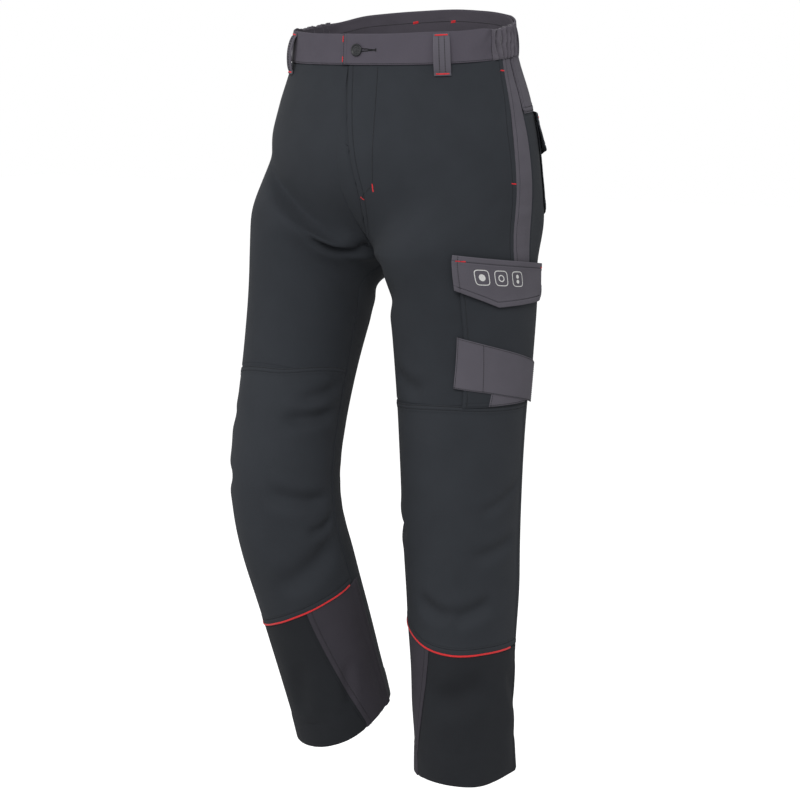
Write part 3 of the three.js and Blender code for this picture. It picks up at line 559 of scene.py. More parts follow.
def woven(name, colour, pitch, slant=1.0, mottle=0.24, bump=0.55, roughness=0.88, sheen=0.02, reads="UV"):
    """Cloth: a twill of slanting ribs, flecked yarn by yarn, with broad shading and slight fuzz."""
    made = bpy.data.materials.new(name)
    made.use_nodes = True
    nodes, links = made.node_tree.nodes, made.node_tree.links
    shader = nodes["Principled BSDF"]
    shader.inputs["Roughness"].default_value = roughness
    shader.inputs["Sheen Weight"].default_value = sheen
    shader.inputs["Sheen Roughness"].default_value = 0.5
    shader.inputs["Specular IOR Level"].default_value = 0.25
    place = nodes.new("ShaderNodeTexCoord")
    scale = add_node(nodes, "ShaderNodeMapping", Scale=(1.0 / pitch, 1.0 / pitch, 1.0),
                     Rotation=(0.0, 0.0, np.arctan(slant)))
    links.new(place.outputs[reads], scale.inputs["Vector"])
    ribs = add_node(nodes, "ShaderNodeTexWave", Scale=0.32, Distortion=0.6, Detail=1.0)
    links.new(scale.outputs["Vector"], ribs.inputs["Vector"])
    yarns = add_node(nodes, "ShaderNodeTexNoise", Scale=1.1, Detail=3.0, Roughness=0.7)
    links.new(scale.outputs["Vector"], yarns.inputs["Vector"])
    broad = add_node(nodes, "ShaderNodeTexNoise", Scale=22.0, Detail=2.0)
    links.new(place.outputs[reads], broad.inputs["Vector"])
    shade = nodes.new("ShaderNodeMath")
    shade.operation = "MULTIPLY_ADD"
    shade.inputs[1].default_value = 0.45
    links.new(ribs.outputs["Fac"], shade.inputs[0])
    links.new(yarns.outputs["Fac"], shade.inputs[2])
    total = nodes.new("ShaderNodeMath")
    total.operation = "MULTIPLY_ADD"
    total.inputs[1].default_value = 0.5
    links.new(broad.outputs["Fac"], total.inputs[0])
    links.new(shade.outputs["Value"], total.inputs[2])
    tones = nodes.new("ShaderNodeValToRGB")
    tones.color_ramp.elements[0].position = 0.55
    tones.color_ramp.elements[1].position = 1.0
    dark = tuple(c * (1 - mottle) for c in colour[:3]) + (1.0,)
    light = tuple(c * (1 + mottle) for c in colour[:3]) + (1.0,)
    tones.color_ramp.elements[0].color = dark
    tones.color_ramp.elements[1].color = light
    links.new(total.outputs["Value"], tones.inputs["Fac"])
    links.new(tones.outputs["Color"], shader.inputs["Base Color"])
    raise_it = add_node(nodes, "ShaderNodeBump", Strength=bump, Distance=0.0004)
    links.new(shade.outputs["Value"], raise_it.inputs["Height"])
    links.new(raise_it.outputs["Normal"], shader.inputs["Normal"])
    return made


def bend_at_hip(made, half):
    """Moves the object's placement into its mesh, which leaves the object at the origin."""
    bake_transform(made)


def bend_at_knee(made, half):
    """Moves the object's placement into its mesh, which leaves the object at the origin."""
    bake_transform(made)


black_cloth = woven("black_cloth", srgb(47, 50, 55), 0.0011)
black_thread = woven("black_thread", srgb(24, 25, 28), 0.0011, sheen=0.15, reads="Object")
red_thread = woven("red_thread", srgb(226, 48, 56), 0.0011, mottle=0.2, sheen=0.2, reads="Object")


STRIPE_DEPTHS_FRONT = (0.042, 0.100, 0.157, 0.229, 0.300, 0.400, KNEE_SEAM)
STRIPE_DEPTHS_BACK = (0.042, 0.126, 0.160, 0.232, 0.304, 0.400, KNEE_SEAM)


def stripe_front(s):
    """The side stripe's front edge bows forward at the pocket's mouth."""
    return through(STRIPE_DEPTHS_FRONT, (0.485, 0.466, 0.453, 0.479, 0.492, 0.486, 0.478), s)


def stripe_back(s):
    """The side stripe's rear edge, which widens towards the thigh."""
    return through(STRIPE_DEPTHS_BACK, (0.535, 0.526, 0.527, 0.547, 0.553, 0.548, 0.540), s)


def pocket_open(s):
    """How open the side pocket is: the square of a sine, from its top tack to 125 mm below."""
    return np.sin(np.pi * np.clip((s - 0.062) / 0.125, 0, 1)) ** 2


def pocket_mouth(s):
    """The front panel's side edge stands 7 mm off the stripe between the pocket's two tacks."""
    return stripe_front(s) - 0.007 * pocket_open(s)


def fly_edge(s):
    """The lapped edge of the fly drifts to the wearer's left and comes back to the crotch."""
    return through((0.040, 0.110, 0.150, 0.200, 0.250, 0.300), (0.001, 0.018, 0.031, 0.050, 0.034, 0.0), s)


def front_lift(u, s):
    """The pocket's edge stands off by 2 mm where the hand goes in."""
    return 0.0022 * pocket_open(s) * ramp((u - stripe_front(s) + 0.05) / 0.045)


POCKET_TACKS = (0.056, 0.200)
under_band = BAND_HEIGHT + 0.0002
for half in (LEFT, RIGHT):
    name = half["name"]
    is_left = half is LEFT
    panel = cut_cloth("front_panel_" + name, half, fly_edge if is_left else 0.0, pocket_mouth, under_band,
                      KNEE_SEAM, black_cloth, ("once" if is_left else "plain", "once", "butt", "under"),
                      front_lift)
    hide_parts("hip_front_" + name, "thigh_front_" + name)
    bend_at_hip(panel["object"], half)
    seams = [stitch_path(panel, *edge_run(panel, "right", SINGLE_ROW, 0.0, 0.985))]
    if is_left:
        seams.append(stitch_path(panel, *edge_run(panel, "left", SINGLE_ROW, 0.0, 0.97)))
        t = np.linspace(0, 1, 60)
        seams.append(stitch_path(panel, 0.088 - 0.032 * ramp((t - 0.90) / 0.10), 0.044 + 0.154 * t))
    black_seams("front_stitching_" + name, seams, bend_at_hip, half)
    tacks = []
    for s in POCKET_TACKS:
        u = float(pocket_mouth(s))
        tacks.append(bar_tack(panel, u - 0.017, s, u - 0.002, s + 0.001, 0.0020))
    if is_left:
        tacks.append(bar_tack(panel, 0.053, 0.196, 0.062, 0.199, 0.0020))
        tacks.append(bar_tack(panel, 0.087, 0.184, 0.089, 0.192, 0.0020))
    red_bars("front_tacks_" + name, tacks, "hips")

# ------------------------------------------------------------------ fly extension
# The right front runs on under the left one as a doubled strip, sewn to the left front below the zip.
def extension_edge(s):
    """The strip reaches 5 mm under the lap and runs out at the crotch."""
    return fly_edge(s) + 0.012 * ramp((0.30 - s) / 0.02)


def extension_lift(u, s):
    """Level with the right front, and pressed down by its own thickness under the lap."""
    return -0.0015 * ramp((u - fly_edge(s) + 0.010) / 0.009)


extension = cut_cloth("fly_extension", LEFT, 0.0, extension_edge, under_band, 0.299, black_cloth,
                      ALL_PLAIN, extension_lift)
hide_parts("fly_placket")
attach(extension["object"], "hips")

# ------------------------------------------------------------------ side stripes
# A grey stripe from the waistband to the knee seam, cut from one strip; its cloth is slack, so it ripples.
grey_cloth = woven("grey_cloth", srgb(91, 88, 96), 0.0011)


def stripe_ripple(u, s):
    """Cross ripples 12 to 30 mm apart that fade at both edges."""
    across = np.clip((u - stripe_front(s)) / (stripe_back(s) - stripe_front(s)), 0, 1)
    waves = soft_noise(3.0 + 0 * s, s / 0.011 + 5) * 0.6 + soft_noise(9.0 + u * 12, s / 0.024 + 2)
    return 0.0012 * np.sin(np.pi * across) * waves * ramp((s - 0.05) / 0.04)


for half in (LEFT, RIGHT):
    name = half["name"]
    stripe = cut_cloth("side_stripe_" + name, half, stripe_front, stripe_back, under_band, KNEE_SEAM,
                       grey_cloth, ("once", "butt", "butt", "under"), -0.0003, spacing=0.0025,
                       ripple=stripe_ripple)
    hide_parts("hip_stripe_" + name, "thigh_stripe_" + name)
    bend_at_hip(stripe["object"], half)
    seams = edge_rows(stripe, (("left", SINGLE_ROW),))
    black_seams("stripe_stitching_" + name, seams, bend_at_hip, half)

# ------------------------------------------------------------------ pocket linings
# The side pockets' bags hang inside the fronts; each one's facing shows black where the mouth stands open.
for half in (LEFT, RIGHT):
    name = half["name"]
    bag = cut_cloth("pocket_lining_" + name, half, 0.24, lambda s: stripe_front(s) + 0.012, 0.050,
                    lambda u: 0.236 - 0.04 * ramp((0.30 - u) / 0.06), black_cloth, ALL_FREE, -0.0042,
                    spacing=0.006)
    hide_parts("pocket_bag_" + name)
    bend_at_hip(bag["object"], half)

# ------------------------------------------------------------------ back yokes
# A grey yoke each side under the waistband, lapped and sewn down over the seat.
YOKE_DEPTH = 0.112
for half in (LEFT, RIGHT):
    name = half["name"]
    yoke = cut_cloth("back_yoke_" + name, half, stripe_back, 1.0, under_band, YOKE_DEPTH, grey_cloth,
                     ("lap", "butt", "butt", "lap"))
    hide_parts("yoke_" + name)
    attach(yoke["object"], "hips")
    seams = edge_rows(yoke, [(edge, row) for edge in ("left", "bottom") for row in (FIRST_ROW, SECOND_ROW)])
    black_seams("yoke_stitching_" + name, seams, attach, "hips")

# ------------------------------------------------------------------ back panels
# One black panel each side from the yoke to the hem, following the worn bends at the groin and at the knee.
# It is in two lengths that meet edge to edge above the knee, where the real cloth runs on.
BACK_SPLIT, KNEE_BACK = 0.530, 0.540


def back_edge(s):
    """The rear edge of the stripe, and below the knee seam the rear edge of the knee patch."""
    return np.where(s < KNEE_SEAM, stripe_back(s), KNEE_BACK)


def hem_line(half):
    """The hem rises towards the inseam, and waves a little."""
    return lambda u: (OUTSEAM - half["hem_dip"] * (0.5 + 0.5 * np.cos(2 * np.pi * u)) ** 2
                      + 0.0022 * np.sin(2 * np.pi * (3 * u + 0.2 * half["side"])) - 0.0008)


def hem_flare(half):
    """The cloth's slack at the hem: soft waves round it that die out 15 cm up."""
    def wave(u, s):
        """Random waves, grown by a ramp over the last 16 cm."""
        return 0.0035 * ramp((s - 0.88) / 0.16) * soft_noise(u * 9 + 20 + 5 * half["side"], s / 0.3)
    return wave


for half in (LEFT, RIGHT):
    name = half["name"]
    upper = cut_cloth("back_panel_" + name, half, back_edge, 1.0, YOKE_DEPTH, BACK_SPLIT, black_cloth,
                      ("butt", "butt", "under", "plain"))
    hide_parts("seat_" + name, "thigh_back_" + name)
    bend_at_hip(upper["object"], half)
    lower = cut_cloth("calf_panel_" + name, half, KNEE_BACK, 1.0, BACK_SPLIT, hem_line(half), black_cloth,
                      ("butt", "butt", "plain", "hem"), ripple=hem_flare(half))
    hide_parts("calf_back_" + name)
    bend_at_knee(lower["object"], half)
    black_seams("calf_stitching_" + name, edge_rows(lower, (("bottom", HEM_ROW),)), bend_at_knee, half)

# ------------------------------------------------------------------ knee patches
# A black canvas patch round the front of each leg, from the knee seam to the piping, sewn down twice on top.
knee_canvas = woven("knee_canvas", srgb(50, 53, 58), 0.0013, slant=0.0, mottle=0.2, bump=0.4)
SEAM_HALF = 0.0008
PIPING_ROUND = (0.0, 0.12, 0.21, 0.28, 0.39, 0.54)


def piping_line(half):
    """The piping runs level round the outside of the leg and rises to the inseam."""
    return lambda u: through(PIPING_ROUND, half["piping"], np.asarray(u, float))


def above_piping(half):
    """The knee patch's lower edge, close above the piping."""
    return lambda u: piping_line(half)(u) - SEAM_HALF


def below_piping(half):
    """The top edge of the gusset and the cuff, close below the piping."""
    return lambda u: piping_line(half)(u) + SEAM_HALF


def knee_top(half):
    """The knee seam is drawn up 5 mm in front on the left; on the right its inner end rises 26 mm."""
    drawn, rise = (0.005, 0.0) if half is LEFT else (0.0, 0.026)
    return lambda u: KNEE_SEAM - rise * ramp((0.24 - u) / 0.24) - drawn * np.exp(-((u - 0.27) / 0.12) ** 2)


for half in (LEFT, RIGHT):
    name = half["name"]
    patch = cut_cloth("knee_patch_" + name, half, 0.0, KNEE_BACK, knee_top(half), above_piping(half),
                      knee_canvas, ("butt", "lap", "lap", "once"))
    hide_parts("knee_patch_upper_" + name, "knee_patch_lower_" + name)
    bend_at_knee(patch["object"], half)
    seams = edge_rows(patch, [(edge, row) for edge in ("top", "right") for row in (FIRST_ROW, SECOND_ROW)])
    seams += edge_rows(patch, (("bottom", SINGLE_ROW), ("bottom", 0.0110)))
    black_seams("knee_stitching_" + name, seams, bend_at_knee, half)

# ------------------------------------------------------------------ calf gussets and cuffs
# Below the piping, a grey gusset at the inseam and a black cuff in front of it share a seam that slants
# towards the inseam. The gusset's rear edge laps a centimetre over the back panel.
calf_grey = woven("calf_grey", srgb(63, 60, 67), 0.0011)
# The cuffs are the same black cloth as above, made darker: painted shade for the light falling off towards
# the hem.
cuff_black_painted_shade = woven("cuff_black_painted_shade", srgb(38, 40, 44), 0.0011)


def gusset_edge(half):
    """The seam between gusset and cuff slants towards the inseam, from the piping to the hem."""
    top, low = half["gusset"]
    start = float(piping_line(half)(top))
    return lambda s: top + (low - top) * np.clip((s - start) / (1.01 - start), 0, 1) ** 1.4


def gusset_lift(u, s):
    """The gusset's rear strip lies on top of the back panel."""
    return 0.0014 * (1 - ramp((u + 0.004) / 0.008))


for half in (LEFT, RIGHT):
    name = half["name"]
    gusset = cut_cloth("calf_gusset_panel_" + name, half, -0.030, gusset_edge(half), below_piping(half),
                       hem_line(half), calf_grey, ("once", "once", "butt", "hem"), gusset_lift,
                       ripple=hem_flare(half), valleys=(0.0,))
    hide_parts("calf_gusset_" + name)
    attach(gusset["object"], "shin_" + name)
    cuff = cut_cloth("cuff_panel_" + name, half, gusset_edge(half), KNEE_BACK, below_piping(half),
                     hem_line(half), cuff_black_painted_shade, ("under", "lap", "butt", "hem"), ripple=hem_flare(half))
    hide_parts("cuff_front_" + name)
    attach(cuff["object"], "shin_" + name)
    seams = edge_rows(gusset, (("right", SINGLE_ROW), ("left", SINGLE_ROW), ("bottom", HEM_ROW)))
    seams += edge_rows(cuff, (("right", FIRST_ROW), ("right", SECOND_ROW), ("bottom", HEM_ROW)))
    black_seams("cuff_stitching_" + name, seams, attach, "shin_" + name)

# ------------------------------------------------------------------ piping
# A red cord in its cloth cover, caught in the seam under each knee patch; its ends stop short of the seams.
red_cover = woven("red_cover", srgb(226, 50, 54), 0.0007, mottle=0.14, sheen=0.25)
PIPING_RADIUS, PIPING_LIFT = 0.0015, 0.0008


def tube(name, points, radius, sides=10):
    """A round profile carried along a path of (points, outward directions), square to it and closed."""
    points, up = points
    ahead = np.gradient(points, axis=0)
    ahead /= np.linalg.norm(ahead, axis=1, keepdims=True)
    side = np.cross(ahead, up)
    side /= np.linalg.norm(side, axis=1, keepdims=True)
    turn = np.linspace(0, 2 * np.pi, sides, endpoint=False)
    t = np.linspace(0, 1, len(points))
    ends = np.sqrt(np.clip(1 - (1 - np.minimum(np.minimum(t, 1 - t) / 0.008, 1)) ** 2, 0.02, 1))
    ring = (side[:, None, :] * np.cos(turn)[None, :, None] + np.cross(side, ahead)[:, None, :]
            * np.sin(turn)[None, :, None]) * (radius * ends)[:, None, None]
    grid = points[:, None, :] + ring
    count = len(points)
    index = np.arange(count * sides).reshape(count, sides)
    after = np.roll(index, -1, axis=1)
    faces = np.stack([index[:-1], index[1:], after[1:], after[:-1]], -1).reshape(-1, 4).tolist()
    faces += [index[0].tolist(), index[-1, ::-1].tolist()]
    mesh = bpy.data.meshes.new(name)
    mesh.from_pydata(grid.reshape(-1, 3).tolist(), [], faces)
    run = np.concatenate([[0.0], np.cumsum(np.linalg.norm(np.diff(points, axis=0), axis=1))])
    flat = np.stack(np.broadcast_arrays(turn[None, :] * radius, run[:, None]), -1).reshape(-1, 2)
    return finished(name, mesh, flat)


for half in (LEFT, RIGHT):
    name = half["name"]
    u = np.linspace(0.012, 0.492, 260)
    s = piping_line(half)(u)
    normal, _ = outward(half, u, s)
    path = surface(half, u, s) + normal * (folds(half, u, s) + PIPING_LIFT)[:, None]
    cord = tube("piping_cord_" + name, (path, normal), PIPING_RADIUS)
    cord.data.materials.append(red_cover)
    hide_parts("piping_" + name)
    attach(cord, "shin_" + name)

# ------------------------------------------------------------------ waistband
# A doubled grey band 42 mm high: two fronts, gathered elastic at each side, and a long back piece.
# The left front laps over the right; a red bar at the top and foot of its end holds the fold.
band_grey = woven("band_grey", srgb(82, 78, 87), 0.0011)
elastic_grey = woven("elastic_grey", srgb(88, 84, 92), 0.0011, sheen=0.2)
BAND_LIFT, BAND_CLOTH = 0.0006, 0.0026
ELASTIC_FROM, ELASTIC_TO = 0.44, 0.60


def band_ease(u, s):
    """The band is smooth at the front and drawn into slanting folds beside the elastic."""
    near = np.exp(-((u - ELASTIC_FROM) / 0.05) ** 2) + np.exp(-((u - ELASTIC_TO) / 0.05) ** 2)
    ripple = soft_noise(u * 40 + s * 70, s / 0.05 + 4)
    return 0.0020 * np.clip(near, 0, 1) * ripple + 0.0005 * soft_noise(u * 18 + 7, s / 0.03)


def gathers(u, s):
    """Gathered elastic: upright folds 11 mm apart that wander, as the size of a sine less 0.6."""
    wander = 0.8 * soft_noise(u * 24 + 2, s / 0.018) + 0.4 * soft_noise(u * 60, s / 0.009 + 9)
    phase = (u - ELASTIC_FROM) / (ELASTIC_TO - ELASTIC_FROM) * 6.5
    fold = np.abs(np.sin(np.pi * (phase + wander * 0.5)))
    ends = ramp((u - ELASTIC_FROM) / 0.006) * ramp((ELASTIC_TO - u) / 0.006)
    return (0.0064 * (fold - 0.60) + 0.0009 * soft_noise(u * 110, s / 0.007)) * ends


def band_top(u):
    """The band's top edge waves a little and is drawn down 4 mm where the elastic is."""
    u = np.asarray(u, float)
    side = np.minimum(u, 2 - u)
    drawn = ramp((side - 0.40) / 0.06) * ramp((0.74 - side) / 0.12)
    return 0.004 * drawn + 0.0012 * soft_noise(u * 9 + 1, 0.5 + 0 * u)


def lapped_lift(u, s):
    """The left end of the band lies on top of the right one."""
    return BAND_LIFT + 0.0026 * (1 - ramp((u + 0.004) / 0.030))


band_pieces = (
    ("waistband_front_left", LEFT, -0.016, ELASTIC_FROM, "once", "waistband_left"),
    ("waistband_front_right", RIGHT, 0.004, ELASTIC_FROM, "plain", "waistband_right"),
    ("waistband_rear", LEFT, ELASTIC_TO, 2 - ELASTIC_TO, "butt", "waistband_back"))
band_tacks = []
for name, half, first, last, first_edge, stands_for in band_pieces:
    over = lapped_lift if first < 0 else BAND_LIFT
    band = cut_cloth(name, half, first, last, band_top, BAND_HEIGHT, band_grey,
                     (first_edge, "butt", "free", "free"), over, spacing=0.003, thickness=BAND_CLOTH,
                     slack=0.3, ripple=band_ease)
    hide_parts(stands_for)
    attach(band["object"], "hips")
    seams = edge_rows(band, (("bottom", FIRST_ROW),))
    if first < 0:
        front_band = band
        seams += edge_rows(band, (("left", 0.0030),))
        for s0, s1 in ((0.0035, 0.0115), (0.031, 0.0385)):
            band_tacks.append(bar_tack(band, -0.0125, s0, -0.0125, s1, 0.0018))
    black_seams(name + "_stitching", seams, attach, "hips")
red_bars("waistband_tacks", band_tacks, "hips")


def uneven_top(u):
    """Each gather stands 1 to 2 mm higher or lower than the next."""
    u = np.asarray(u, float)
    return band_top(u) - 0.0005 + 0.0018 * soft_noise(u * 50, 1.5 + 0 * u)


for half in (LEFT, RIGHT):
    name = half["name"]
    strip = cut_cloth("elastic_strip_" + name, half, ELASTIC_FROM, ELASTIC_TO, uneven_top,
                      BAND_HEIGHT + 0.0005, elastic_grey, ("butt", "butt", "free", "butt"), BAND_LIFT,
                      spacing=0.0014, thickness=BAND_CLOTH, slack=0.3, ripple=gathers)
    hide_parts("elastic_side_" + name)
    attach(strip["object"], "hips")

# ------------------------------------------------------------------ waistband underlap and lining
# The right end of the band runs on under the left. Inside, a grey lining is sewn round the band, and the
# ends of the red bars that hold the loops come through it.
underlap = cut_cloth("band_underlap", LEFT, -0.060, 0.062, 0.001, BAND_HEIGHT, grey_cloth,
                     ALL_FREE, -0.0036, spacing=0.003, thickness=DOUBLED, slack=0.3)
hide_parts("waistband_underlap")
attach(underlap["object"], "hips")

lining_grey = woven("lining_grey", srgb(80, 76, 84), 0.0011, mottle=0.12)


def lining_ease(u, s):
    """The lining puckers by random values below its top edge."""
    return 0.0009 * soft_noise(u * 26, s / 0.014) * ramp((s - 0.006) / 0.01)


lining = cut_cloth("band_lining", LEFT, 0.070, 1.930, lambda u: 0.0015 + band_top(u),
                   BAND_HEIGHT + 0.002, lining_grey, ALL_FREE, -0.0028, spacing=0.003, thickness=DOUBLED,
                   slack=0.3, ripple=lining_ease)
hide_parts("waistband_lining")
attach(lining["object"], "hips")


def inside_rows(piece, rows):
    """The same stitches on the inner face: each is moved through the cloth along its outward direction."""
    moved = []
    for middle, direction, up, length, radius in rows:
        moved.append((middle - up * (piece["thickness"] + 0.0003), direction, -up, length, radius))
    return moved


inner_rows = inside_rows(lining, edge_rows(lining, (("top", 0.0125), ("bottom", 0.004))))
black_seams("lining_stitching", inner_rows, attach, "hips")

# ------------------------------------------------------------------ belt loops
# Seven loops of folded grey cloth, 22 mm by 55 mm, sewn twice down their length; each end is turned under
# and held by a red bar of thread. They stand off the band in the middle so that a belt goes through.
LOOP_TOP, LOOP_BOTTOM, LOOP_WIDTH, LOOP_BOW, LOOP_SEWN = 0.002, 0.058, 0.022, 0.0068, 0.004
LOOPS = (("front_left", 0.265), ("side_left", 0.760), ("back_left", 0.880), ("back_centre", 1.000),
         ("back_right", 1.120), ("side_right", 1.240), ("front_right", 1.735))


def loop_lift(u, s):
    """Flat at both ends, and bowed between them as a sine to the power 0.6."""
    t = np.clip((s - LOOP_TOP - LOOP_SEWN) / (LOOP_BOTTOM - LOOP_TOP - 2 * LOOP_SEWN), 0, 1)
    return 0.0030 + LOOP_BOW * np.sin(np.pi * t) ** 0.6


loop_rows, loop_tacks, back_tacks = [], [], []
for place, middle_u in LOOPS:
    girth = float(outward(LEFT, middle_u, 0.03)[1])
    reach = LOOP_WIDTH / 2 / girth
    loop = cut_cloth("loop_" + place, LEFT, middle_u - reach, middle_u + reach, LOOP_TOP, LOOP_BOTTOM,
                     grey_cloth, ALL_FREE, loop_lift, spacing=0.0014, thickness=DOUBLED, slack=0.0)
    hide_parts("belt_loop_" + place)
    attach(loop["object"], "hips")
    for shift in (-0.0036, 0.0036):
        u = middle_u + shift / girth
        ends = [LOOP_TOP + LOOP_SEWN, LOOP_BOTTOM - LOOP_SEWN]
        loop_rows.append(stitch_path(loop, [u, u], ends, 0.0034, 0.0027, 0.0006))
    wide = 0.0085 / girth
    for s in (LOOP_TOP + 0.0022, LOOP_BOTTOM - 0.0024):
        loop_tacks.append(bar_tack(loop, middle_u - wide, s, middle_u + wide, s))
    if place in ("back_centre", "back_right"):
        small = 0.004 / girth
        rows = [bar_tack(lining, middle_u - small, s, middle_u + small, s + 0.0009, 0.0020)
                for s in (0.0125, 0.0140)]
        back_tacks += inside_rows(lining, rows)
black_seams("loop_stitching", loop_rows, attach, "hips")
red_bars("loop_tacks", loop_tacks, "hips")
red_bars("lining_tacks", back_tacks, "hips")

# ------------------------------------------------------------------ waist button
# A black moulded jeans button, 17 mm across, with a raised rim and two rings, on a shank that a brass
# tack holds from inside. Its keyhole is edged with close black stitches.
BUTTON_U, BUTTON_S = 0.027, 0.022
# each profile: (radius, height) in millimetres, from the axis out and back to it
button_profile = np.array([
    (0.0, 0.0), (2.4, 0.0), (2.4, 4.0), (5.5, 4.3), (7.6, 4.5), (8.2, 4.9), (8.5, 5.4), (8.5, 5.9),
    (8.2, 6.5), (7.6, 6.9), (7.0, 6.9), (6.6, 6.6), (6.3, 6.2), (5.4, 6.15), (5.1, 5.9), (4.8, 6.15),
    (3.4, 6.2), (3.1, 5.95), (2.8, 6.2), (1.4, 6.25), (0.0, 6.3)]) * 0.001
tack_profile = np.array([
    (0.0, -1.5), (1.6, -1.4), (3.4, -1.1), (4.4, -0.5), (4.7, 0.0), (4.3, 0.1), (0.0, 0.1)]) * 0.001


def turned(name, profile, middle, axis, steps=72):
    """A profile of (radius, height) turned about an axis through a point, closed on the axis at both ends."""
    axis = np.array(axis) / np.linalg.norm(axis)
    side = np.cross(axis, (0.0, 0.0, 1.0))
    side /= np.linalg.norm(side)
    other = np.cross(axis, side)
    turn = np.linspace(0, 2 * np.pi, steps, endpoint=False)
    round_it = np.cos(turn)[None, :, None] * side + np.sin(turn)[None, :, None] * other
    body = profile[1:-1]
    grid = np.array(middle) + body[:, 0][:, None, None] * round_it + body[:, 1][:, None, None] * axis
    start, end = (np.array(middle) + axis * profile[k, 1] for k in (0, -1))
    points = [start, *grid.reshape(-1, 3), end]
    index = 1 + np.arange(len(body) * steps).reshape(len(body), steps)
    after = np.roll(index, -1, axis=1)
    faces = np.stack([index[:-1], after[:-1], after[1:], index[1:]], -1).reshape(-1, 4).tolist()
    faces += np.stack([np.zeros(steps, int), after[0], index[0]], -1).tolist()
    faces += np.stack([np.full(steps, len(points) - 1), index[-1], after[-1]], -1).tolist()
    mesh = bpy.data.meshes.new(name)
    mesh.from_pydata([tuple(p) for p in points], [], faces)
    return finished(name, mesh)


def moulded(name, colour, roughness, metallic=0.0, grain=900.0, bump=0.08):
    """Moulded plastic or cast metal: fine grain in the gloss and height, and a little wear in the colour."""
    made = bpy.data.materials.new(name)
    made.use_nodes = True
    nodes, links = made.node_tree.nodes, made.node_tree.links
    shader = nodes["Principled BSDF"]
    shader.inputs["Metallic"].default_value = metallic
    place = nodes.new("ShaderNodeTexCoord")
    fine = add_node(nodes, "ShaderNodeTexNoise", Scale=grain, Detail=4.0)
    links.new(place.outputs["Object"], fine.inputs["Vector"])
    tones = nodes.new("ShaderNodeValToRGB")
    tones.color_ramp.elements[0].color = tuple(c * 0.75 for c in colour[:3]) + (1.0,)
    tones.color_ramp.elements[1].color = tuple(min(c * 1.3, 1.0) for c in colour[:3]) + (1.0,)
    links.new(fine.outputs["Fac"], tones.inputs["Fac"])
    links.new(tones.outputs["Color"], shader.inputs["Base Color"])
    gloss = add_node(nodes, "ShaderNodeMapRange", To_Min=roughness - 0.08, To_Max=roughness + 0.12)
    links.new(fine.outputs["Fac"], gloss.inputs["Value"])
    links.new(gloss.outputs["Result"], shader.inputs["Roughness"])
    raise_it = add_node(nodes, "ShaderNodeBump", Strength=bump, Distance=0.0002)
    links.new(fine.outputs["Fac"], raise_it.inputs["Height"])
    links.new(raise_it.outputs["Normal"], shader.inputs["Normal"])
    return made


button_black = moulded("button_black", srgb(38, 39, 42), 0.42)
brass = moulded("brass", srgb(170, 142, 84), 0.34, metallic=1.0, grain=1400.0)
button_normal = outward(LEFT, BUTTON_U, BUTTON_S)[0]
button_middle = surface(LEFT, BUTTON_U, BUTTON_S) - 0.0019 * button_normal
button = turned("jeans_button", button_profile, button_middle, button_normal)
button.data.materials.append(button_black)
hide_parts("waist_button")
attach(button, "waist_button")
tack_middle = surface(LEFT, BUTTON_U, BUTTON_S) - 0.0048 * button_normal
tack = turned("brass_tack", tack_profile, tack_middle, button_normal, 40)
tack.data.materials.append(brass)
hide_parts("button_tack")
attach(tack, "hips")

SLIT_FROM, SLIT_TO = 0.002, 0.0290
girth = float(outward(LEFT, BUTTON_U, BUTTON_S)[1])
slit_rows = []
for side in (-1, 1):
    along = np.linspace(SLIT_FROM, SLIT_TO, 20)
    apart = 0.0016 - 0.0012 * ramp((along - 0.010) / 0.015) + 0.0002 * np.sin(along * 900)
    slit_rows.append(stitch_path(front_band, BUTTON_U + along / girth, BUTTON_S + side * apart, 0.00042,
                                 0.0020, 0.00026, across=True))
end = BUTTON_U + SLIT_TO / girth
slit_rows.append(stitch_path(front_band, [end, end], [BUTTON_S - 0.0022, BUTTON_S + 0.0022], 0.00042,
                             0.0024, 0.00028, across=True))
black_seams("buttonhole", slit_rows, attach, "hips")

# ------------------------------------------------------------------ zip
# Behind the fly, two rows of brass teeth on black tapes, with a guard strip inside them. The slider and
# its pull keep their own shape; they take the brass finish.
TOOTH_PITCH, TOOTH_DEPTH = 0.0024, 0.0022
for name, sign in (("left", 1.0), ("right", -1.0)):
    low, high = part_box("zip_teeth_" + name)
    low, high = np.array(low), np.array(high)
    count = int((high[2] - low[2]) / TOOTH_PITCH)
    t = (np.arange(count) + (0.5 if sign > 0 else 0.0)) / count
    lean = (high[1] - low[1] - TOOTH_DEPTH) * (1 - t)
    x = 0 * t + (low[0] + high[0]) / 2
    middle = np.stack([x, high[1] - TOOTH_DEPTH / 2 - lean, low[2] + t * (high[2] - low[2])], -1)
    across, out = np.tile((1.0, 0.0, 0.0), (count, 1)), np.tile((0.0, -1.0, 0.13), (count, 1))
    row = (middle, across, out, 0.0030, 0.0009)
    teeth = sew("zip_chain_" + name, [row], brass)
    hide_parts("zip_teeth_" + name)
    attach(teeth, "hips")
for name in ("zip_slider", "zip_pull"):
    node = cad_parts[name]
    node.data.materials.clear()
    node.data.materials.append(brass)
FLY_SLOPE = 0.1298


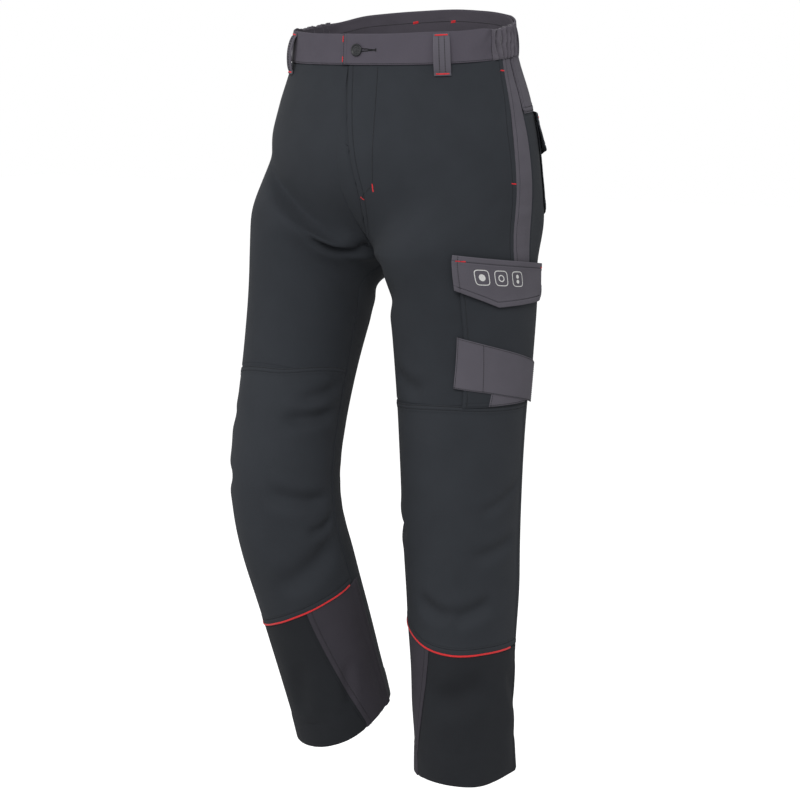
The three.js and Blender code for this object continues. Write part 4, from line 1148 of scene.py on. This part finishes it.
def flat_strip(name, node, rib):
    """A cloth strip as wide, high and sloping as a CAD box, with fine ribs across its depth."""
    low, high = (np.array(corner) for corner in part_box(node))
    height = high[2] - low[2]
    deep = max(high[1] - low[1] - FLY_SLOPE * height, 0.0008)
    x = np.linspace(low[0], high[0], 40)[None, :]
    t = np.linspace(0, 1, 90)[:, None]
    bow = rib * np.sin(2 * np.pi * (x - low[0]) / 0.0022)
    y = low[1] + FLY_SLOPE * height * (1 - t) + bow
    z = high[2] - height * t + 0 * x
    outer = np.stack([x + 0 * t, y, z], -1)
    inner = np.stack([x + 0 * t, low[1] + deep + FLY_SLOPE * height * (1 - t) + 0 * x, z], -1)
    made = solid_grid(name, outer, inner, True, np.stack([x + 0 * t, z], -1))
    made.data.materials.append(black_cloth)
    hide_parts(node)
    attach(made, "hips")
    return made


for name in ("left", "right"):
    flat_strip("zip_ribbon_" + name, "zip_tape_" + name, 0.00008)
flat_strip("fly_guard", "fly_shield", 0.0)

# ------------------------------------------------------------------ rear pockets
# A black patch pocket on each side of the seat with its own flap. The flap's free corner stands off.
for half in (LEFT, RIGHT):
    name = half["name"]
    pocket = cut_cloth("seat_pocket_" + name, half, 0.620, 0.860, YOKE_DEPTH + 0.014,
                       lambda u: 0.246 - 0.010 * ramp((0.66 - u) / 0.04) - 0.010 * ramp((u - 0.82) / 0.04),
                       black_cloth, ("once", "once", "free", "once"), 0.0020)
    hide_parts("rear_pocket_" + name)
    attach(pocket["object"], "hips")
    seams = edge_rows(pocket, [(edge, SINGLE_ROW) for edge in ("left", "right", "bottom")])
    black_seams("seat_pocket_stitching_" + name, seams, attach, "hips")
    hinge = YOKE_DEPTH + 0.004

    def stand_off(u, s, hinge=hinge):
        """Sewn flat at its top, and its lower corners curl away by up to 5 mm."""
        down = ramp((s - hinge) / 0.050)
        corner = ramp((0.66 - u) / 0.06) + 0.5 * ramp((u - 0.81) / 0.06)
        return 0.0044 + down * (0.0010 + 0.0045 * corner)

    flap = cut_cloth("seat_flap_" + name, half, 0.605, 0.870, hinge,
                     lambda u: 0.160 + 0.008 * (1 - np.abs(u - 0.7375) / 0.1325), black_cloth,
                     ALL_ONCE, stand_off, thickness=0.0020)
    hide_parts("rear_flap_" + name)
    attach(flap["object"], "rear_flap_" + name)
    seams = edge_rows(flap, [(edge, SINGLE_ROW) for edge in ("left", "right", "bottom", "top")])
    black_seams("seat_flap_stitching_" + name, seams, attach, "rear_flap_" + name)
    tacks = [bar_tack(flap, u - 0.010, hinge + 0.004, u + 0.010, hinge + 0.004) for u in (0.620, 0.855)]
    red_bars("seat_flap_tacks_" + name, tacks, "rear_flap_" + name)

# ------------------------------------------------------------------ cargo pocket
# A black patch pocket on the left thigh, set over the side stripe down to the knee seam. It bears a grey
# patch that slopes backwards, sewn down once all round and once across, and a grey tab below the patch.
def share(at, first, last):
    """How far a place has gone from the first value to the last."""
    return np.clip((at - first) / (last - first), 0, 1)


def slanting(start, change, first, last):
    """An edge that runs straight from a start by a change, between two places along it."""
    return lambda at: start + change * share(at, first, last)


pocket = cut_cloth("thigh_pocket", LEFT, slanting(0.357, -0.030, 0.344, 0.500),
                   slanting(0.603, -0.026, 0.350, 0.500), slanting(0.302, 0.024, 0.335, 0.600),
                   KNEE_SEAM - 0.001, black_cloth, ("bag",) * 4, 0.0028)
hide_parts("cargo_pocket")
bend_at_hip(pocket["object"], LEFT)
patch = cut_cloth("pocket_patch", LEFT, slanting(0.331, -0.022, 0.405, 0.476), 0.571,
                  slanting(0.405, 0.047, 0.331, 0.571),
                  lambda u: 0.476 + 0.008 * share(u, 0.309, 0.386) + 0.025 * share(u, 0.386, 0.571),
                  grey_cloth, ALL_FREE, 0.0046, thickness=0.0012)
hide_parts("cargo_patch")
bend_at_hip(patch["object"], LEFT)
tab = cut_cloth("pocket_tab", LEFT, slanting(0.399, -0.009, 0.480, 0.502), 0.512,
                slanting(0.470, 0.015, 0.386, 0.571), KNEE_SEAM - 0.002, grey_cloth, ALL_FREE, 0.0038,
                thickness=0.0010)
bend_at_hip(tab["object"], LEFT)
seams = edge_rows(pocket, [(edge, 0.006) for edge in ("left", "right")])
seams += edge_rows(patch, [(edge, 0.0016) for edge in ("left", "right", "top", "bottom")])
seams.append(stitch_path(patch, [0.385, 0.375], [0.4175, 0.482]))
seams += edge_rows(tab, (("bottom", 0.002), ("left", 0.002)))
black_seams("thigh_pocket_stitching", seams, bend_at_hip, LEFT)

# ------------------------------------------------------------------ cargo flap
# A stiff doubled grey flap over the pocket, cut to a low point towards the front, sewn down once inside
# its edge, with a red bar at each top corner. It bears three plain white printed marks.
FLAP_LOW = 0.432


def flap_top(u):
    """The flap's top edge slopes down towards the back."""
    return 0.291 + 0.025 * share(u, 0.356, 0.611)


def flap_bottom(u):
    """Down to the low point, level behind it, and cut off at the rear corner."""
    return 0.338 + 0.028 * share(u, 0.346, FLAP_LOW) - 0.010 * share(u, 0.576, 0.600)


def flap_lift(u, s):
    """Sewn at its top, it stands off further towards its free edge, most at the front corner."""
    down = ramp((s - flap_top(u)) / 0.05)
    return 0.0056 + 0.0010 * down + 0.0016 * down * ramp((0.42 - u) / 0.07)


flap = cut_cloth("thigh_flap", LEFT, slanting(0.356, -0.010, 0.291, 0.339),
                 slanting(0.604, -0.006, 0.316, 0.368), flap_top, flap_bottom, grey_cloth, ALL_ONCE,
                 flap_lift, spacing=0.003, thickness=0.0019)
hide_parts("cargo_flap")
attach(flap["object"], "cargo_flap")
seams = [stitch_path(flap, *edge_run(flap, edge, SINGLE_ROW, 0.03, 0.97))
         for edge in ("left", "right", "top", "bottom")]
black_seams("thigh_flap_stitching", seams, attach, "cargo_flap")
tacks = [bar_tack(flap, 0.361, 0.2985, 0.380, 0.3000), bar_tack(flap, 0.590, 0.3205, 0.605, 0.3220)]
red_bars("thigh_flap_tacks", tacks, "cargo_flap")

print_white = woven("print_white", srgb(228, 228, 226), 0.0011, mottle=0.06, sheen=0.0, reads="Object")


def printed(name, piece, middle_u, middle_s, outlines):
    """Flat ink on a panel: closed outlines in metres (across, down) drawn as bands of a given width."""
    points, faces = [], []
    girth = float(outward(piece["half"], middle_u, middle_s)[1])
    for line, width in outlines:
        line = np.asarray(line, float)
        ahead = np.roll(line, -1, axis=0) - np.roll(line, 1, axis=0)
        ahead /= np.linalg.norm(ahead, axis=1, keepdims=True)
        side = np.stack([-ahead[:, 1], ahead[:, 0]], -1)
        both = np.concatenate([line - side * width / 2, line + side * width / 2])
        u, s = middle_u + both[:, 0] / girth, middle_s + both[:, 1] + 0.10 * both[:, 0]
        outer, _, normal, _ = relief(piece, u, s)
        base, count = len(points), len(line)
        points += (surface(piece["half"], u, s) + normal * (outer + 0.00012)[:, None]).tolist()
        faces += [(base + i, base + (i + 1) % count, base + count + (i + 1) % count, base + count + i)
                  for i in range(count)]
    mesh = bpy.data.meshes.new(name)
    mesh.from_pydata(points, [], faces)
    made = bpy.data.objects.new(name, mesh)
    SCENE.collection.objects.link(made)
    thick = made.modifiers.new("ink", "SOLIDIFY")
    thick.thickness = 0.0001
    made.data.materials.append(print_white)
    return made


def ring_line(radius, x=0.0, y=0.0, power=1.0, steps=48):
    """A circle, or for a power under 1 a rounded square."""
    t = np.linspace(0, 2 * np.pi, steps, endpoint=False)
    c, s = np.cos(t), np.sin(t)
    across, down = np.sign(c) * np.abs(c) ** power, np.sign(s) * np.abs(s) ** power
    return np.stack([x + radius * across, y + radius * down], -1)


MARK_SIZE, MARK_LINE = 0.0103, 0.0012
dot, ring = [(ring_line(0.0024), 0.0048)], [(ring_line(0.0042), 0.0015)]
two_dots = [(ring_line(0.0014, 0.0, y), 0.0028) for y in (-0.0035, 0.0035)]
marks = ((0.407, 0.3225, dot), (0.448, 0.3255, ring), (0.489, 0.3290, two_dots))
for number, (u, s, inside) in enumerate(marks, 1):
    frame_line = (ring_line(MARK_SIZE, power=0.45), MARK_LINE)
    mark = printed(f"white_mark_{number}", flap, u, s, [frame_line, *inside])
    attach(mark, "cargo_flap")
